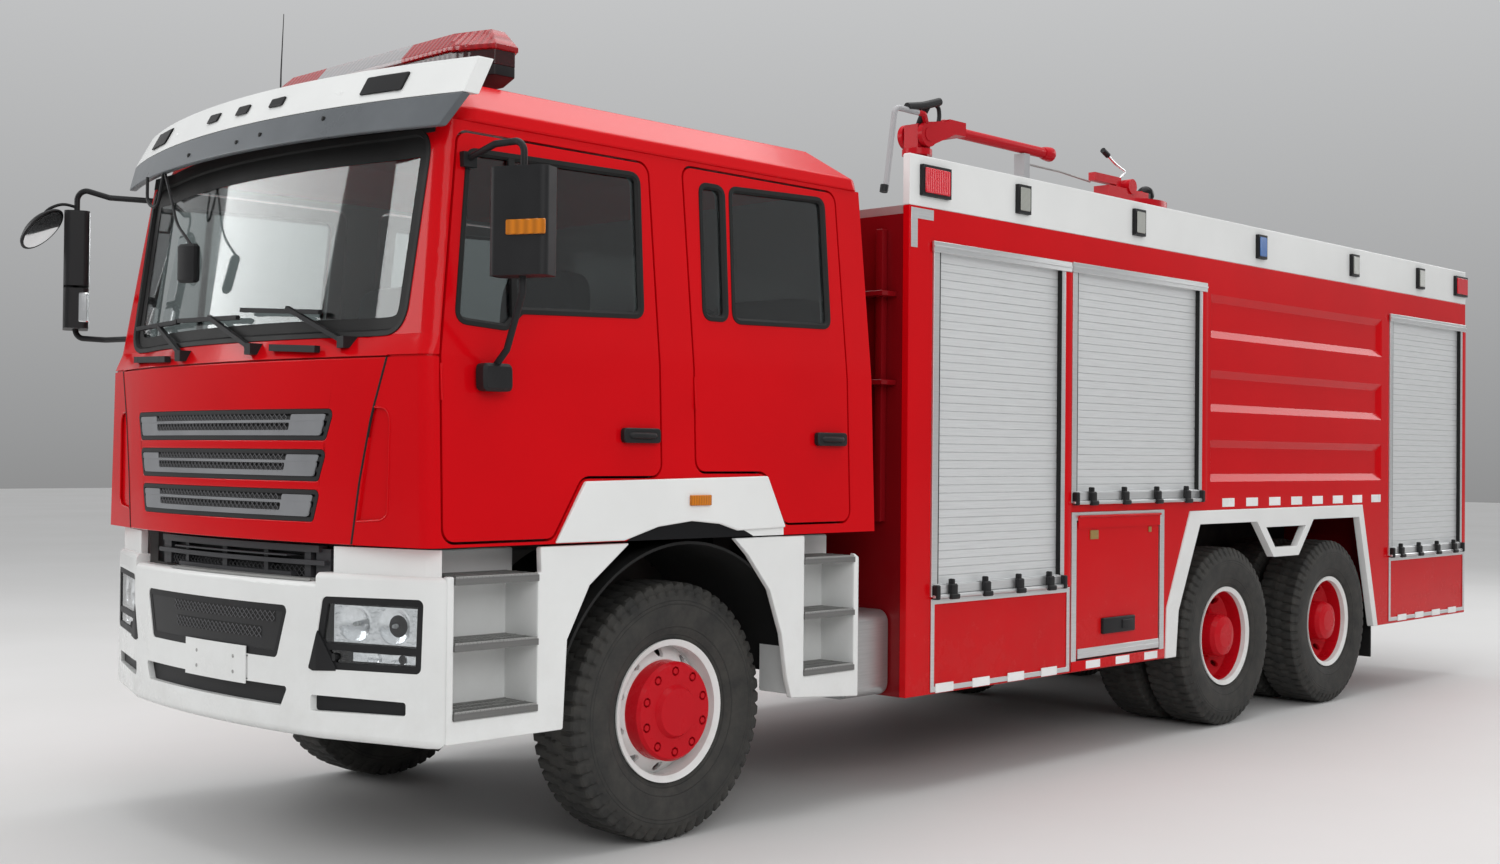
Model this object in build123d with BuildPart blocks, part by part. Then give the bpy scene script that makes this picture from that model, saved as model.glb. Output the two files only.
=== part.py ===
"""A six-wheel fire truck with a four-door cab, a locker and tank body, and a roof monitor.

Millimetres. Stations run along X from the front axle, forward positive. Y is to the
truck's left and Z is up from the ground. Each piece is shifted as it is saved, so that
the origin lies under the middle of the truck's box.
"""
import os
from math import atan2, cos, degrees, hypot, pi, sin

from build123d import *

os.makedirs("parts", exist_ok=True)

# Driving sizes of the whole truck
NOSE_X = 1500
TAIL_X = -8260
WHEELBASE = 4570
TANDEM = 1400
BODY_HALF = 1250
FIT = 0.3
RUN_GAP = 10

# Tyres and wheels
TYRE_R = 540
TYRE_HALF = 150
RIM_R = 298
BEAD_R = 287
BEAD_HALF = 114
FRONT_TRACK = 2000
REAR_TRACK = 1840
DUAL_SPACING = 334
HUB_BORE_R = 46
NUT_COUNT = 10
NUT_CIRCLE_R = 168
KINGPIN_Y = 870
LUGS = 14
LUG_DEEP = 24
# Share of a lug's pitch, and radius there
LUG_SHARES = ((0.0, TYRE_R), (0.62, TYRE_R), (0.68, TYRE_R - LUG_DEEP), (0.94, TYRE_R - LUG_DEEP))
# Carcass of the tyre: radius of its shoulder and of its widest place, and width of its edge
SHOULDER_R = 498
WALL_R = 428
CARCASS_EDGE = 14
TREAD_HALF = TYRE_HALF - CARCASS_EDGE

# Chassis
RAIL_OUT = 430
RAIL_FLANGE = 80
RAIL_TOP = 1000
RAIL_DEEP = 300
RAIL_WEB = 10
RAIL_FRONT = 1250
RAIL_BACK = -8100

# Cab shell
CAB_BACK = -1178
CAB_FLOOR = 1265
CAB_TOP = 2850
CAB_WALL = 50
PANEL_DEEP = 25
GLASS_OUT = 14
GLASS_THICK = 6
KNEE_Y = 863
CORNER_R = 64
ROOF_SKIN = 25
# Sections from the floor up: height, half width, corner station, knee station, nose station
CAB_SECTIONS = (
    (CAB_FLOOR, 1247, 1315, 1394, 1480),
    (1965, 1221, 1315, 1394, 1480),
    (2045, 1213, 1292, 1320, 1440),
    (CAB_TOP, 1131, 1182, 1206, 1318),
)

# Door openings and windows, as points of station and height
FRONT_DOOR = ((1262, 1276), (1262, 1965), (1135, 2815), (163, 2815), (163, 1514), (588, 1514), (742, 1276))
REAR_DOOR = ((-21, 1532), (-21, 2832), (-1010, 2832), (-1010, 1306), (-560, 1306), (-446, 1532))
FRONT_WINDOW = ((1172, 2098), (950, 2084), (872, 2152), (255, 2174), (232, 2750), (1080, 2736))
REAR_WINDOWS = (
    ((-108, 2190), (-236, 2190), (-262, 2756), (-132, 2756)),
    ((-286, 2186), (-898, 2200), (-914, 2780), (-314, 2760)),
)
DOOR_ROUND = 60
WINDOW_ROUND = 38
HINGE_OUT = 27

# Windscreen and front panel
SCREEN_LOW = (1050, 2056)
SCREEN_HIGH = (1062, 2806)
PANEL_EDGE = ((866, 1252), (905, 1500), (958, 1740), (1030, 1958))
# Pressed duct shape and gap line of the cab's front corners
CORNER_DUCT = ((966, 1776), (1028, 1773), (1051, 1740), (1047, 1384), (1020, 1361), (896, 1352), (920, 1500))
CORNER_GAP = (1958, 1967)
PRESS_DEEP = 9
# Grille slots: top height, bottom height, half width at the top, half width at the bottom
GRILLES = ((1770, 1652, 771, 727), (1617, 1498, 734, 691), (1465, 1345, 700, 664))

# Bumper
BUMPER_LOW = 535
BUMPER_TOP = 1122
BUMPER_SKIN = 60
BUMPER_BACK = 1238
# Plan of the bumper's face: station and distance from the middle
BUMPER_PLAN = ((BUMPER_BACK, 1250), (1284, 1190), (1440, 720))

# Lower body: steps, fenders and arches
FENDER_OUT = 1245
FENDER_SKIN = 30
STEP_DEEP = 200
STEP_FRONT = (1232, 776)
STEP_REAR = (-664, -1073)
STEP_TREADS = (1152, 886, 636)
TREAD_THICK = 24
STEP_BOX_TOP = STEP_TREADS[0] - TREAD_THICK
STEP_LOW = 551
ARCH_R = 700
LINER_THICK = 12
COVER_OUT = 1262

# Superstructure
BODY_FRONT = -1414
BODY_BACK = -8200
BODY_LOW = 468
BODY_TOP = 2810
COAMING_TOP = 3056
WALL = 40
BODY_FLOOR = 1240
LOCKER_IN = 560
DECK_THICK = 40
# Shutter bays: front and back station of the frame, bottom and top of the frame
SHUTTERS = ((-1599, -2795, 936, 2650), (-2807, -4244, 1372, 2654), (-6826, -8180, 945, 2646))
LOWER_PANELS = ((-1599, -2795, 478, 926), (-6826, -8180, 486, 935))
PANEL_TRIM = 26
LOCKER_DOOR = (-2812, -3764, 480, 1322)
FRAME_WIDE = 46
FRAME_PROUD = 8
BAR_HIGH = 62
SLAT_PITCH = 40
SLAT_GROOVE = 6
CURTAIN_THICK = 14
CURTAIN_IN = 16
FLUTES = ((2599, 2338), (2146, 1898), (1728, 1478))
FLUTE_ENDS = (-4300, -6700)
FLUTE_DEEP = 24
FLUTE_SLOPE = 46
# Rear arch: outer and inner outline of its white trim, as station and height
ARCH_OUT = ((-3787, BODY_LOW), (-3800, 756), (-4061, 1308), (-6389, 1312), (-6642, BODY_LOW))
ARCH_IN = ((-3905, BODY_LOW), (-3932, 731), (-4177, 1227), (-6339, 1227), (-6572, BODY_LOW))
ARCH_VEE = ((-4880, 1227), (-5100, 1002), (-5440, 1002), (-5650, 1227))
ARCH_VEE_HOLE = ((-5000, 1190), (-5120, 1062), (-5420, 1062), (-5540, 1190))
# Lamps on the coaming: station, half length, colour group
LAMP_Z = 2936
LAMP_HALF_HIGH = 74
LAMP_PROUD = 22
LAMPS = ((-1601, 111), (-2334, 56), (-3461, 56), (-4906, 56), (-6234, 56), (-7331, 56), (-8076, 111))

# Roof monitor
MONITOR_X = -3050
RISER_R = 62
RISER_TOP = 3400
PIVOT_Z = 3520
BARREL_Z = 3596
BARREL_R = 34
BARREL_END = -4449
REST_X = -4132
TILLER_Y = 122
TILLER_R = 17

SHIFT = -(NOSE_X + TAIL_X) / 2
REAR_AXLES = (-WHEELBASE, -WHEELBASE - TANDEM)


def save(part, name):
    """Shifts a finished piece to the truck's frame, labels it and writes its file."""
    placed = part.moved(Location((SHIFT, 0, 0)))
    placed.label = name
    export_step(placed, "parts/" + name + ".step")


def side_prism(points, y_in, y_out, rounding=0.0, grow=0.0):
    """A prism on the left side, from an outline of station and height, between two Y planes."""
    with BuildPart(mode=Mode.PRIVATE) as prism:
        with BuildSketch(Plane.XZ.offset(-y_in)) as outline:
            with BuildLine():
                Polyline(*points, close=True)
            make_face()
            if rounding:
                fillet(outline.vertices(), rounding)
            if grow:
                offset(amount=grow, kind=Kind.INTERSECTION)
        extrude(amount=y_in - y_out)
    return prism.part


def front_prism(points, x_in, x_out, rounding=0.0, grow=0.0):
    """A prism along X, from an outline of Y and height, between two stations."""
    with BuildPart(mode=Mode.PRIVATE) as prism:
        with BuildSketch(Plane.YZ.offset(x_in)) as outline:
            with BuildLine():
                Polyline(*points, close=True)
            make_face()
            if rounding:
                fillet(outline.vertices(), rounding)
            if grow:
                offset(amount=grow, kind=Kind.INTERSECTION)
        extrude(amount=x_out - x_in)
    return prism.part


def block(x_range, y_range, z_range):
    """A plain box between two stations, two widths and two heights."""
    spans = [sorted(r) for r in (x_range, y_range, z_range)]
    middle = [(low + high) / 2 for low, high in spans]
    with BuildPart(mode=Mode.PRIVATE) as box:
        with Locations(tuple(middle)):
            Box(*[high - low for low, high in spans])
    return box.part


def cab_block(inset, floor=CAB_FLOOR, top=CAB_TOP):
    """The cab's outer form, drawn in by an inset: a ruled loft through its plan sections."""
    back = CAB_BACK + inset
    with BuildPart(mode=Mode.PRIVATE) as form:
        for z, half, corner, knee, nose in CAB_SECTIONS:
            height = floor if z == CAB_FLOOR else top if z == CAB_TOP else z
            slope = (knee - corner) / (half - KNEE_Y)
            drawn = inset * hypot(1, slope)
            side, turn, bend = half - inset, corner + slope * inset - drawn, knee - drawn
            with BuildSketch(Plane.XY.offset(height)) as plan:
                with BuildLine():
                    Polyline((bend, KNEE_Y), (turn, side), (back, side), (back, -side), (turn, -side), (bend, -KNEE_Y))
                    ThreePointArc((bend, -KNEE_Y), (nose - inset, 0), (bend, KNEE_Y))
                make_face()
                corners = plan.vertices().filter_by(lambda v: abs(v.X - turn) < 1)
                fillet(corners, max(CORNER_R - inset, CORNER_R / 4))
        loft(ruled=True)
    return form.part


def side_y(z, inset=0.0):
    """The cab side's distance from the middle at a height."""
    for (z0, y0, *_), (z1, y1, *_) in zip(CAB_SECTIONS, CAB_SECTIONS[1:]):
        if z <= z1:
            return y0 + (y1 - y0) * (z - z0) / (z1 - z0) - inset
    return CAB_SECTIONS[-1][1] - inset


def side_wall(out_depth, in_depth):
    """The left side's flat faces as a plate between two depths behind the outer face."""
    heights = [row[0] for row in CAB_SECTIONS]
    outside = [(side_y(z, out_depth), z) for z in heights]
    inside = [(side_y(z, in_depth), z) for z in reversed(heights)]
    with BuildPart(mode=Mode.PRIVATE) as wall:
        with BuildSketch(Plane.YZ.offset(CAB_BACK)):
            with BuildLine():
                Polyline(*outside, *inside, close=True)
            make_face()
        extrude(amount=CAB_SECTIONS[0][2] - CAB_BACK)
    return wall.part


# The cab's form at the depths that its panels use
cab_outer = cab_block(0)
cab_inner = cab_block(CAB_WALL, floor=CAB_FLOOR + CAB_WALL)
cab_panel_back = cab_block(PANEL_DEEP, floor=CAB_FLOOR - 20)
glass_front = cab_block(GLASS_OUT)
glass_back = cab_block(GLASS_OUT + GLASS_THICK)

screen_points = (SCREEN_LOW, SCREEN_HIGH, (-SCREEN_HIGH[0], SCREEN_HIGH[1]), (-SCREEN_LOW[0], SCREEN_LOW[1]))
screen_opening = front_prism(screen_points, 1050, NOSE_X + 100, rounding=90)
panel_points = PANEL_EDGE + tuple((-y, z) for y, z in reversed(PANEL_EDGE))
panel_region = front_prism(panel_points, 1150, NOSE_X + 100)
panel_recess = front_prism(panel_points, 1150, NOSE_X + 100, grow=6)
DOORS = {"front": (FRONT_DOOR, (FRONT_WINDOW,)), "rear": (REAR_DOOR, REAR_WINDOWS)}

# Cab shell: floor, back wall, pillars, cowl and fire wall
with BuildPart() as cab_shell:
    add(cab_outer)
    add(cab_inner, mode=Mode.SUBTRACT)
    for outline, windows in DOORS.values():
        opening = side_prism(outline, 1000, 1320, rounding=DOOR_ROUND)
        add(opening, mode=Mode.SUBTRACT)
        add(opening.mirror(Plane.XZ), mode=Mode.SUBTRACT)
    add(screen_opening, mode=Mode.SUBTRACT)
    add((cab_outer - cab_panel_back) & panel_recess, mode=Mode.SUBTRACT)
    pressed = cab_outer - cab_block(PRESS_DEEP)
    corner_gap = block((FRONT_DOOR[0][0], NOSE_X), (PANEL_EDGE[-1][0], 1300), CORNER_GAP)
    for cut in (front_prism(CORNER_DUCT, 1150, NOSE_X + 100), corner_gap):
        add(pressed & cut, mode=Mode.SUBTRACT)
        add(pressed & cut.mirror(Plane.XZ), mode=Mode.SUBTRACT)
save(cab_shell.part, "cab_shell")

# Front panel with its three grille slots, and the grilles that fill them
panel_skin = cab_outer - cab_panel_back
with BuildPart() as front_panel:
    add(panel_skin & panel_region)
    for top, low, half_top, half_low in GRILLES:
        slot = ((half_top, top), (half_low, low), (-half_low, low), (-half_top, top))
        add(front_prism(slot, 1150, NOSE_X + 100, rounding=22), mode=Mode.SUBTRACT)
save(front_panel.part, "front_panel")

# Each grille is a frame with a set-back floor and two louvres across it
GRILLE_FRAME = 17
GRILLE_DEEP = 14
LOUVRE_HALF = 9
grille_floor = cab_block(GRILLE_DEEP, floor=CAB_FLOOR - 20) - cab_panel_back
with BuildPart() as front_grilles:
    for top, low, half_top, half_low in GRILLES:
        slot = ((half_top, top), (half_low, low), (-half_low, low), (-half_top, top))
        whole = front_prism(slot, 1150, NOSE_X + 100, rounding=22, grow=-FIT)
        inside = front_prism(slot, 1150, NOSE_X + 100, rounding=22, grow=-GRILLE_FRAME)
        add((panel_skin & whole) - inside)
        add(grille_floor & whole)
        for share in (0.36, 0.7):
            z = low + share * (top - low)
            louvre = block((1150, NOSE_X + 100), (-half_top, half_top), (z - LOUVRE_HALF, z + LOUVRE_HALF))
            add(panel_skin & inside & louvre)
save(front_grilles.part, "front_grilles")

# Windscreen
with BuildPart() as windscreen:
    add((glass_front - glass_back) & screen_opening)
save(windscreen.part, "windscreen")

# Doors: skins as thick as the cab wall, cut by their windows, each with its glass
HANDLES = {"front": 291, "rear": -868}
HINGE_HEIGHTS = {"front": (1480, 1860), "rear": (1720, 2380)}
HINGE_HALF = 36
HINGE_ROD = (1800, 1935)
HANDLE_Z = 1686


def hinge_rod(x):
    """The round rod that a door turns on: it leans as the cab side does, just outside its widest bulge."""
    low, high = HINGE_ROD
    lean = (CAB_SECTIONS[-1][1] - CAB_SECTIONS[0][1]) / (CAB_TOP - CAB_FLOOR)
    foot = CAB_SECTIONS[0][1] + HINGE_OUT + lean * (low - CAB_FLOOR)
    direction = Vector(0, lean, 1).normalized()
    with BuildPart(mode=Mode.PRIVATE) as rod:
        with BuildSketch(Plane((x, foot, low), z_dir=direction)):
            Circle(RUN_GAP / 2 - FIT)
        extrude(amount=high - low)
    return rod.part


for place, (outline, windows) in DOORS.items():
    handle_y = side_y(HANDLE_Z)
    handle_x = HANDLES[place]
    with BuildPart() as door:
        add(side_wall(0, CAB_WALL) & side_prism(outline, 1000, 1320, rounding=DOOR_ROUND, grow=-RUN_GAP))
        for window in windows:
            add(side_prism(window, 1000, 1320, rounding=WINDOW_ROUND), mode=Mode.SUBTRACT)
        add(block((handle_x - 92, handle_x + 92), (handle_y - 12, handle_y + 26), (HANDLE_Z - 23, HANDLE_Z + 23)))
        hinge_x = outline[0][0] - RUN_GAP / 2
        add(hinge_rod(hinge_x))
        add(block((hinge_x, hinge_x - RUN_GAP), (side_y(HINGE_ROD[1], 34), side_y(HINGE_ROD[1], 2)), HINGE_ROD))
        pillar_x = outline[0][0] - FIT
        for z in HINGE_HEIGHTS[place]:
            hinge_y = (side_y(z, CAB_WALL - 8), side_y(z, 18))
            add(block((pillar_x, pillar_x - RUN_GAP - 20), hinge_y, (z - HINGE_HALF, z + HINGE_HALF)))
    if place == "front":
        front_door_form = door.part
    with BuildPart() as panes:
        for window in windows:
            opening = side_prism(window, 1000, 1320, rounding=WINDOW_ROUND)
            add(side_wall(GLASS_OUT, GLASS_OUT + GLASS_THICK) & opening)
    for side in ("left", "right"):
        save(door.part if side == "left" else door.part.mirror(Plane.XZ), place + "_door_" + side)
        save(panes.part if side == "left" else panes.part.mirror(Plane.XZ), place + "_door_glass_" + side)

# Roof: a raised cap over the drip rail. Columns: height, half width, front station, back station
ROOF_ROWS = ((CAB_TOP, 1143, 1130, -1196), (2905, 1131, 1110, -1190), (3040, 952, 1040, -1060), (3078, 500, 980, -1000))


def roof_cap(inset):
    """The roof's form, drawn in by an inset, down to the drip rail."""
    with BuildPart(mode=Mode.PRIVATE) as cap:
        for z, half, front, back in ROOF_ROWS:
            height = z if z == CAB_TOP else z - inset
            with BuildSketch(Plane.XY.offset(height)):
                with Locations(((front + back) / 2, 0)):
                    RectangleRounded(front - back - 2 * inset, 2 * (half - inset), 80)
        loft(ruled=True)
    return cap.part


roof_form = roof_cap(0)
with BuildPart() as cab_roof:
    add(roof_form)
    add(roof_cap(ROOF_SKIN), mode=Mode.SUBTRACT)
save(cab_roof.part, "cab_roof")

# Roof fairing and sun visor: bowed blades on the roof's front. Columns: height, nose, end station, half width
FAIRING_ROWS = ((2925, 1400, 1199, 1262), (3070, 1322, 1122, 1250))
VISOR_ROWS = ((2800, 1462, 1262, 1196), FAIRING_ROWS[0])
BLADE_DEEP = 70


def bowed_blade(rows, deep):
    """A blade that follows the bowed front, lofted between plan sections."""
    with BuildPart(mode=Mode.PRIVATE) as blade:
        for z, nose, end, half in rows:
            with BuildSketch(Plane.XY.offset(z)):
                with BuildLine():
                    ThreePointArc((end, -half), (nose, 0), (end, half))
                    Line((end, half), (end - deep, half))
                    ThreePointArc((end - deep, half), (nose - deep, 0), (end - deep, -half))
                    Line((end - deep, -half), (end, -half))
                make_face()
        loft(ruled=True)
    return blade.part


with BuildPart() as roof_fairing:
    add(bowed_blade(FAIRING_ROWS, BLADE_DEEP))
    for y in (-620, 620):
        add(block((990, 1320), (y - 30, y + 30), (2935, 2990)))
    add(roof_form, mode=Mode.SUBTRACT)
save(roof_fairing.part, "roof_fairing")

with BuildPart() as sun_visor:
    add(bowed_blade(VISOR_ROWS, 36))
save(sun_visor.part, "sun_visor")

# Light bar on two feet: a black tray, and a red lens whose cap overhangs it with chamfered ends
BAR_X = 680
BAR_HALF = 850
BAR_DEEP = 150
BAR_CUT = (0.62, 0.22)
BAR_LOW = 3128
BAR_TRAY = 44
LENS_LIP = 14
LENS_ROWS = ((3250, 0), (3322, 62))


def bar_plan(z, draw_in):
    """The light bar's plan at a height: a long rectangle with cut corners, drawn in by a distance."""
    half = BAR_HALF - draw_in
    deep = BAR_DEEP - draw_in
    cut_x = BAR_CUT[0] * deep
    cut_y = BAR_CUT[1] * half
    corners = [(deep, half - cut_y), (deep - cut_x, half), (cut_x - deep, half), (-deep, half - cut_y)]
    corners += [(-x, -y) for x, y in corners]
    with BuildSketch(Plane.XY.offset(z), mode=Mode.PRIVATE) as plan:
        with BuildLine():
            Polyline(*corners, close=True)
        make_face()
    return plan.sketch


with BuildPart() as lightbar_base:
    add(bar_plan(BAR_LOW, LENS_LIP))
    extrude(amount=BAR_TRAY)
    for y in (-520, 520):
        add(block((-70, 70), (y - 60, y + 60), (3000, BAR_LOW)))
with BuildPart() as lightbar_lens:
    add(bar_plan(BAR_LOW + BAR_TRAY, LENS_LIP))
    extrude(amount=LENS_ROWS[0][0] - 18 - BAR_LOW - BAR_TRAY)
    add(bar_plan(LENS_ROWS[0][0] - 18, 0))
    extrude(amount=18)
    for z, draw_in in LENS_ROWS:
        add(bar_plan(z, draw_in))
    loft(ruled=True)
bar_place = Location((BAR_X, 0, 0))
save(lightbar_lens.part.moved(bar_place), "lightbar_lens")

# Marker lamps on the fairing: pads that follow its face, by place across and half sizes
FAIRING_LAMPS = ((866, 104, 38), (250, 46, 20), (0, 46, 20), (-250, 46, 20), (-866, 104, 38))
FAIRING_LAMP_Z = 2998
MARKER_PROUD = 9
marker_rows = [(z, nose + MARKER_PROUD, end + MARKER_PROUD, half) for z, nose, end, half in FAIRING_ROWS]
with BuildPart() as fairing_lamps:
    for y, half_wide, half_high in FAIRING_LAMPS:
        add(bowed_blade(marker_rows, 40) & block((1000, 1500), (y - half_wide, y + half_wide),
                                                 (FAIRING_LAMP_Z - half_high, FAIRING_LAMP_Z + half_high)))
lamp_tray = lightbar_base.part.moved(bar_place) - roof_form
save(lamp_tray + (fairing_lamps.part - roof_fairing.part), "lightbar_base")

# Cab inside: dashboard with its steering wheel, and seats
DASH_BACK = 980
WHEEL_X, WHEEL_Y, WHEEL_Z = 800, 560, 2010
with BuildPart() as dashboard:
    add(cab_block(CAB_WALL + FIT, floor=CAB_FLOOR + CAB_WALL) & block((DASH_BACK, 1500), (-1060, 1060), (1640, 1960)))
    wheel_plane = Plane((WHEEL_X, WHEEL_Y, WHEEL_Z), z_dir=(-0.62, 0, 0.78))
    with BuildSketch(wheel_plane.offset(-16)):
        Circle(34)
    extrude(amount=-330)
    with BuildSketch(wheel_plane.offset(-20)):
        Circle(228)
        Circle(196, mode=Mode.SUBTRACT)
        Circle(60)
        with PolarLocations(128, 3):
            Rectangle(150, 36)
    extrude(amount=28, both=False)
save(dashboard.part, "dashboard")

SEAT_BASE = CAB_FLOOR + CAB_WALL
with BuildPart() as seats:
    for y in (-560, 560):
        add(block((260, 720), (y - 260, y + 260), (SEAT_BASE, SEAT_BASE + 420)))
        add(block((220, 350), (y - 250, y + 250), (SEAT_BASE + 420, SEAT_BASE + 1080)))
    add(block((-1040, -560), (-1080, 1080), (SEAT_BASE, SEAT_BASE + 420)))
    add(block((-1080, -930), (-1080, 1080), (SEAT_BASE + 420, SEAT_BASE + 1040)))
save(seats.part, "seats")


def bumper_face(depth):
    """The bumper's plan curve, drawn in by a depth, as points and an arc's middle."""
    (x0, y0), (x1, y1), (x2, y2) = BUMPER_PLAN
    lean = depth * 0.35
    return (x0, y0 - depth), (x1 - lean, y1 - depth * 0.8), (x2 - depth, y2 - depth * 0.2), (NOSE_X - depth, 0)


def bumper_ring(front_depth, back_depth, low, high):
    """A band of the bumper between two depths behind its face and two heights."""
    with BuildPart(mode=Mode.PRIVATE) as ring:
        with BuildSketch(Plane.XY.offset(low)):
            a0, a1, a2, a3 = bumper_face(front_depth)
            b0, b1, b2, b3 = bumper_face(back_depth)
            flip = lambda p: (p[0], -p[1])
            with BuildLine():
                Polyline(b2, b1, b0, a0, a1, a2)
                ThreePointArc(a2, a3, flip(a2))
                Polyline(flip(a2), flip(a1), flip(a0), flip(b0), flip(b1), flip(b2))
                ThreePointArc(flip(b2), b3, b2)
            make_face()
        extrude(amount=high - low)
    return ring.part


def face_edges(part, level):
    """The edges of the bumper's outer face at a height: both ends of each are corners of its plan."""
    corners = [Vector(x, hand * y, level) for x, y in bumper_face(0)[:3] for hand in (1, -1)]
    near = lambda point: min((point - corner).length for corner in corners) < 1
    return [edge for edge in part.edges() if near(edge @ 0) and near(edge @ 1)]


# Bumper: a shell with its lamp, grille and slot openings, raised corner pieces, and a recess with a blank plate
LAMP_OPENING = ((742, 1070), (716, 905), (790, 800), (1172, 806), (1180, 1076))
BUMPER_GRILLE = ((555, 1025), (491, 822), (-491, 822), (-555, 1025))
LOW_SLOT = ((560, 718), (520, 642), (-520, 642), (-560, 718))
FOG_SLOT = ((690, 700), (690, 640), (1110, 650), (1110, 700))
CORNER_TOP = 1256
CORNER_IN = 760
CORNER_DEPTH = 30
CORNER_ROOF = 1158
LOW_ROUND = 34
TOP_ROUND = 22
PLATE_Y = (-155, 311)
PLATE_Z = (722, 818)
PLATE_DEPTH = 10
PLATE_GAP = 6
bumper_cuts = [front_prism(LAMP_OPENING, 1150, 1700, rounding=24), front_prism(FOG_SLOT, 1150, 1700, rounding=12)]
bumper_cuts += [cut.mirror(Plane.XZ) for cut in bumper_cuts]
bumper_cuts += [front_prism(BUMPER_GRILLE, 1150, 1700, rounding=24), front_prism(LOW_SLOT, 1150, 1700, rounding=12)]
corner_side = block((1000, 1700), (CORNER_IN, 1400), (BUMPER_TOP, CORNER_TOP))
with BuildPart() as bumper:
    add(bumper_ring(0, BUMPER_SKIN, BUMPER_LOW, BUMPER_TOP))
    fillet(face_edges(bumper.part, BUMPER_LOW), LOW_ROUND)
    fillet(face_edges(bumper.part, BUMPER_TOP), TOP_ROUND)
    for cut in bumper_cuts:
        add(cut, mode=Mode.SUBTRACT)
    with BuildPart(mode=Mode.PRIVATE) as corner_roof:
        add(bumper_ring(0, BUMPER_SKIN, BUMPER_TOP - TOP_ROUND - 8, CORNER_ROOF))
        fillet(face_edges(corner_roof.part, CORNER_ROOF), TOP_ROUND)
    for hand in (1, -1):
        add(corner_roof.part & block((1000, 1700), sorted((hand * CORNER_IN - hand * 50, hand * 1400)), (1000, 1300)))
    corner_band = bumper_ring(CORNER_DEPTH, BUMPER_SKIN, BUMPER_TOP, CORNER_TOP)
    add(corner_band & corner_side)
    add(corner_band & corner_side.mirror(Plane.XZ))
    add(bumper_ring(-1, PLATE_DEPTH, *PLATE_Z) & block((1000, 1700), PLATE_Y, PLATE_Z), mode=Mode.SUBTRACT)
    plate_y = (PLATE_Y[0] + PLATE_GAP, PLATE_Y[1] - PLATE_GAP)
    plate_z = (PLATE_Z[0] + PLATE_GAP, PLATE_Z[1] - PLATE_GAP)
    add(bumper_ring(2, PLATE_DEPTH, *plate_z) & block((1000, 1700), plate_y, plate_z))
save(bumper.part, "bumper")

# Black inserts behind the bumper's openings, with the dark wall above it
INSERT_DEPTH = 26
BEZEL_DEPTH = 4
LAMP_FRAME = 26
LAMP_BAR = (872, 898)
MESH_BAR = (914, 932)
LENS_DEPTH = 10
LENS_THICK = 6
lamp_bar = block((1000, 1700), (-1400, 1400), LAMP_BAR)


def lamp_cut(grow, hand):
    """A headlamp's opening through the bumper, grown or drawn in, on the left or right."""
    cut = front_prism(LAMP_OPENING, 1150, 1700, rounding=24, grow=grow)
    return cut if hand > 0 else cut.mirror(Plane.XZ)


with BuildPart() as bumper_inserts:
    insert_band = bumper_ring(INSERT_DEPTH, BUMPER_SKIN, BUMPER_LOW + 20, BUMPER_TOP - 20)
    for cut in bumper_cuts[1::2]:
        add(insert_band & cut)
    mesh_room = front_prism(BUMPER_GRILLE, 1150, 1700, rounding=24, grow=-LAMP_FRAME)
    mesh_room = mesh_room & bumper_ring(-200, BUMPER_SKIN - 16, BUMPER_LOW, BUMPER_TOP)
    add((bumper_ring(BEZEL_DEPTH, BUMPER_SKIN, BUMPER_LOW, BUMPER_TOP) & bumper_cuts[4]) - mesh_room)
    mesh_bar = block((1000, 1700), (-500, 500), MESH_BAR)
    add(bumper_ring(INSERT_DEPTH, BUMPER_SKIN, BUMPER_LOW, BUMPER_TOP) & bumper_cuts[4] & mesh_bar)
    for hand in (1, -1):
        bezel = bumper_ring(BEZEL_DEPTH, BUMPER_SKIN, BUMPER_LOW, BUMPER_TOP) & lamp_cut(0, hand)
        glass_room = bumper_ring(-200, BUMPER_SKIN - 12, BUMPER_LOW, BUMPER_TOP) & lamp_cut(-LAMP_FRAME, hand)
        add(bezel - (glass_room - lamp_bar))
    add(bumper_ring(BUMPER_SKIN + 50, BUMPER_SKIN + 62, BUMPER_TOP, CAB_FLOOR)
        & block((1000, 1700), (-CORNER_IN, CORNER_IN), (BUMPER_TOP, CAB_FLOOR)))
save(bumper_inserts.part, "bumper_inserts")

with BuildPart() as headlamps:
    lens_band = bumper_ring(LENS_DEPTH, LENS_DEPTH + LENS_THICK, BUMPER_LOW, BUMPER_TOP)
    for hand in (1, -1):
        add((lens_band & lamp_cut(-LAMP_FRAME - FIT, hand)) - lamp_bar)
save(headlamps.part, "headlamps")


def arch_disc(radius, y_in, y_out):
    """A cylinder across the truck, round the front axle's centre."""
    with BuildPart(mode=Mode.PRIVATE) as disc:
        with BuildSketch(Plane.XZ.offset(-y_in)):
            with Locations((0, TYRE_R)):
                Circle(radius)
        extrude(amount=y_in - y_out)
    return disc.part


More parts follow.
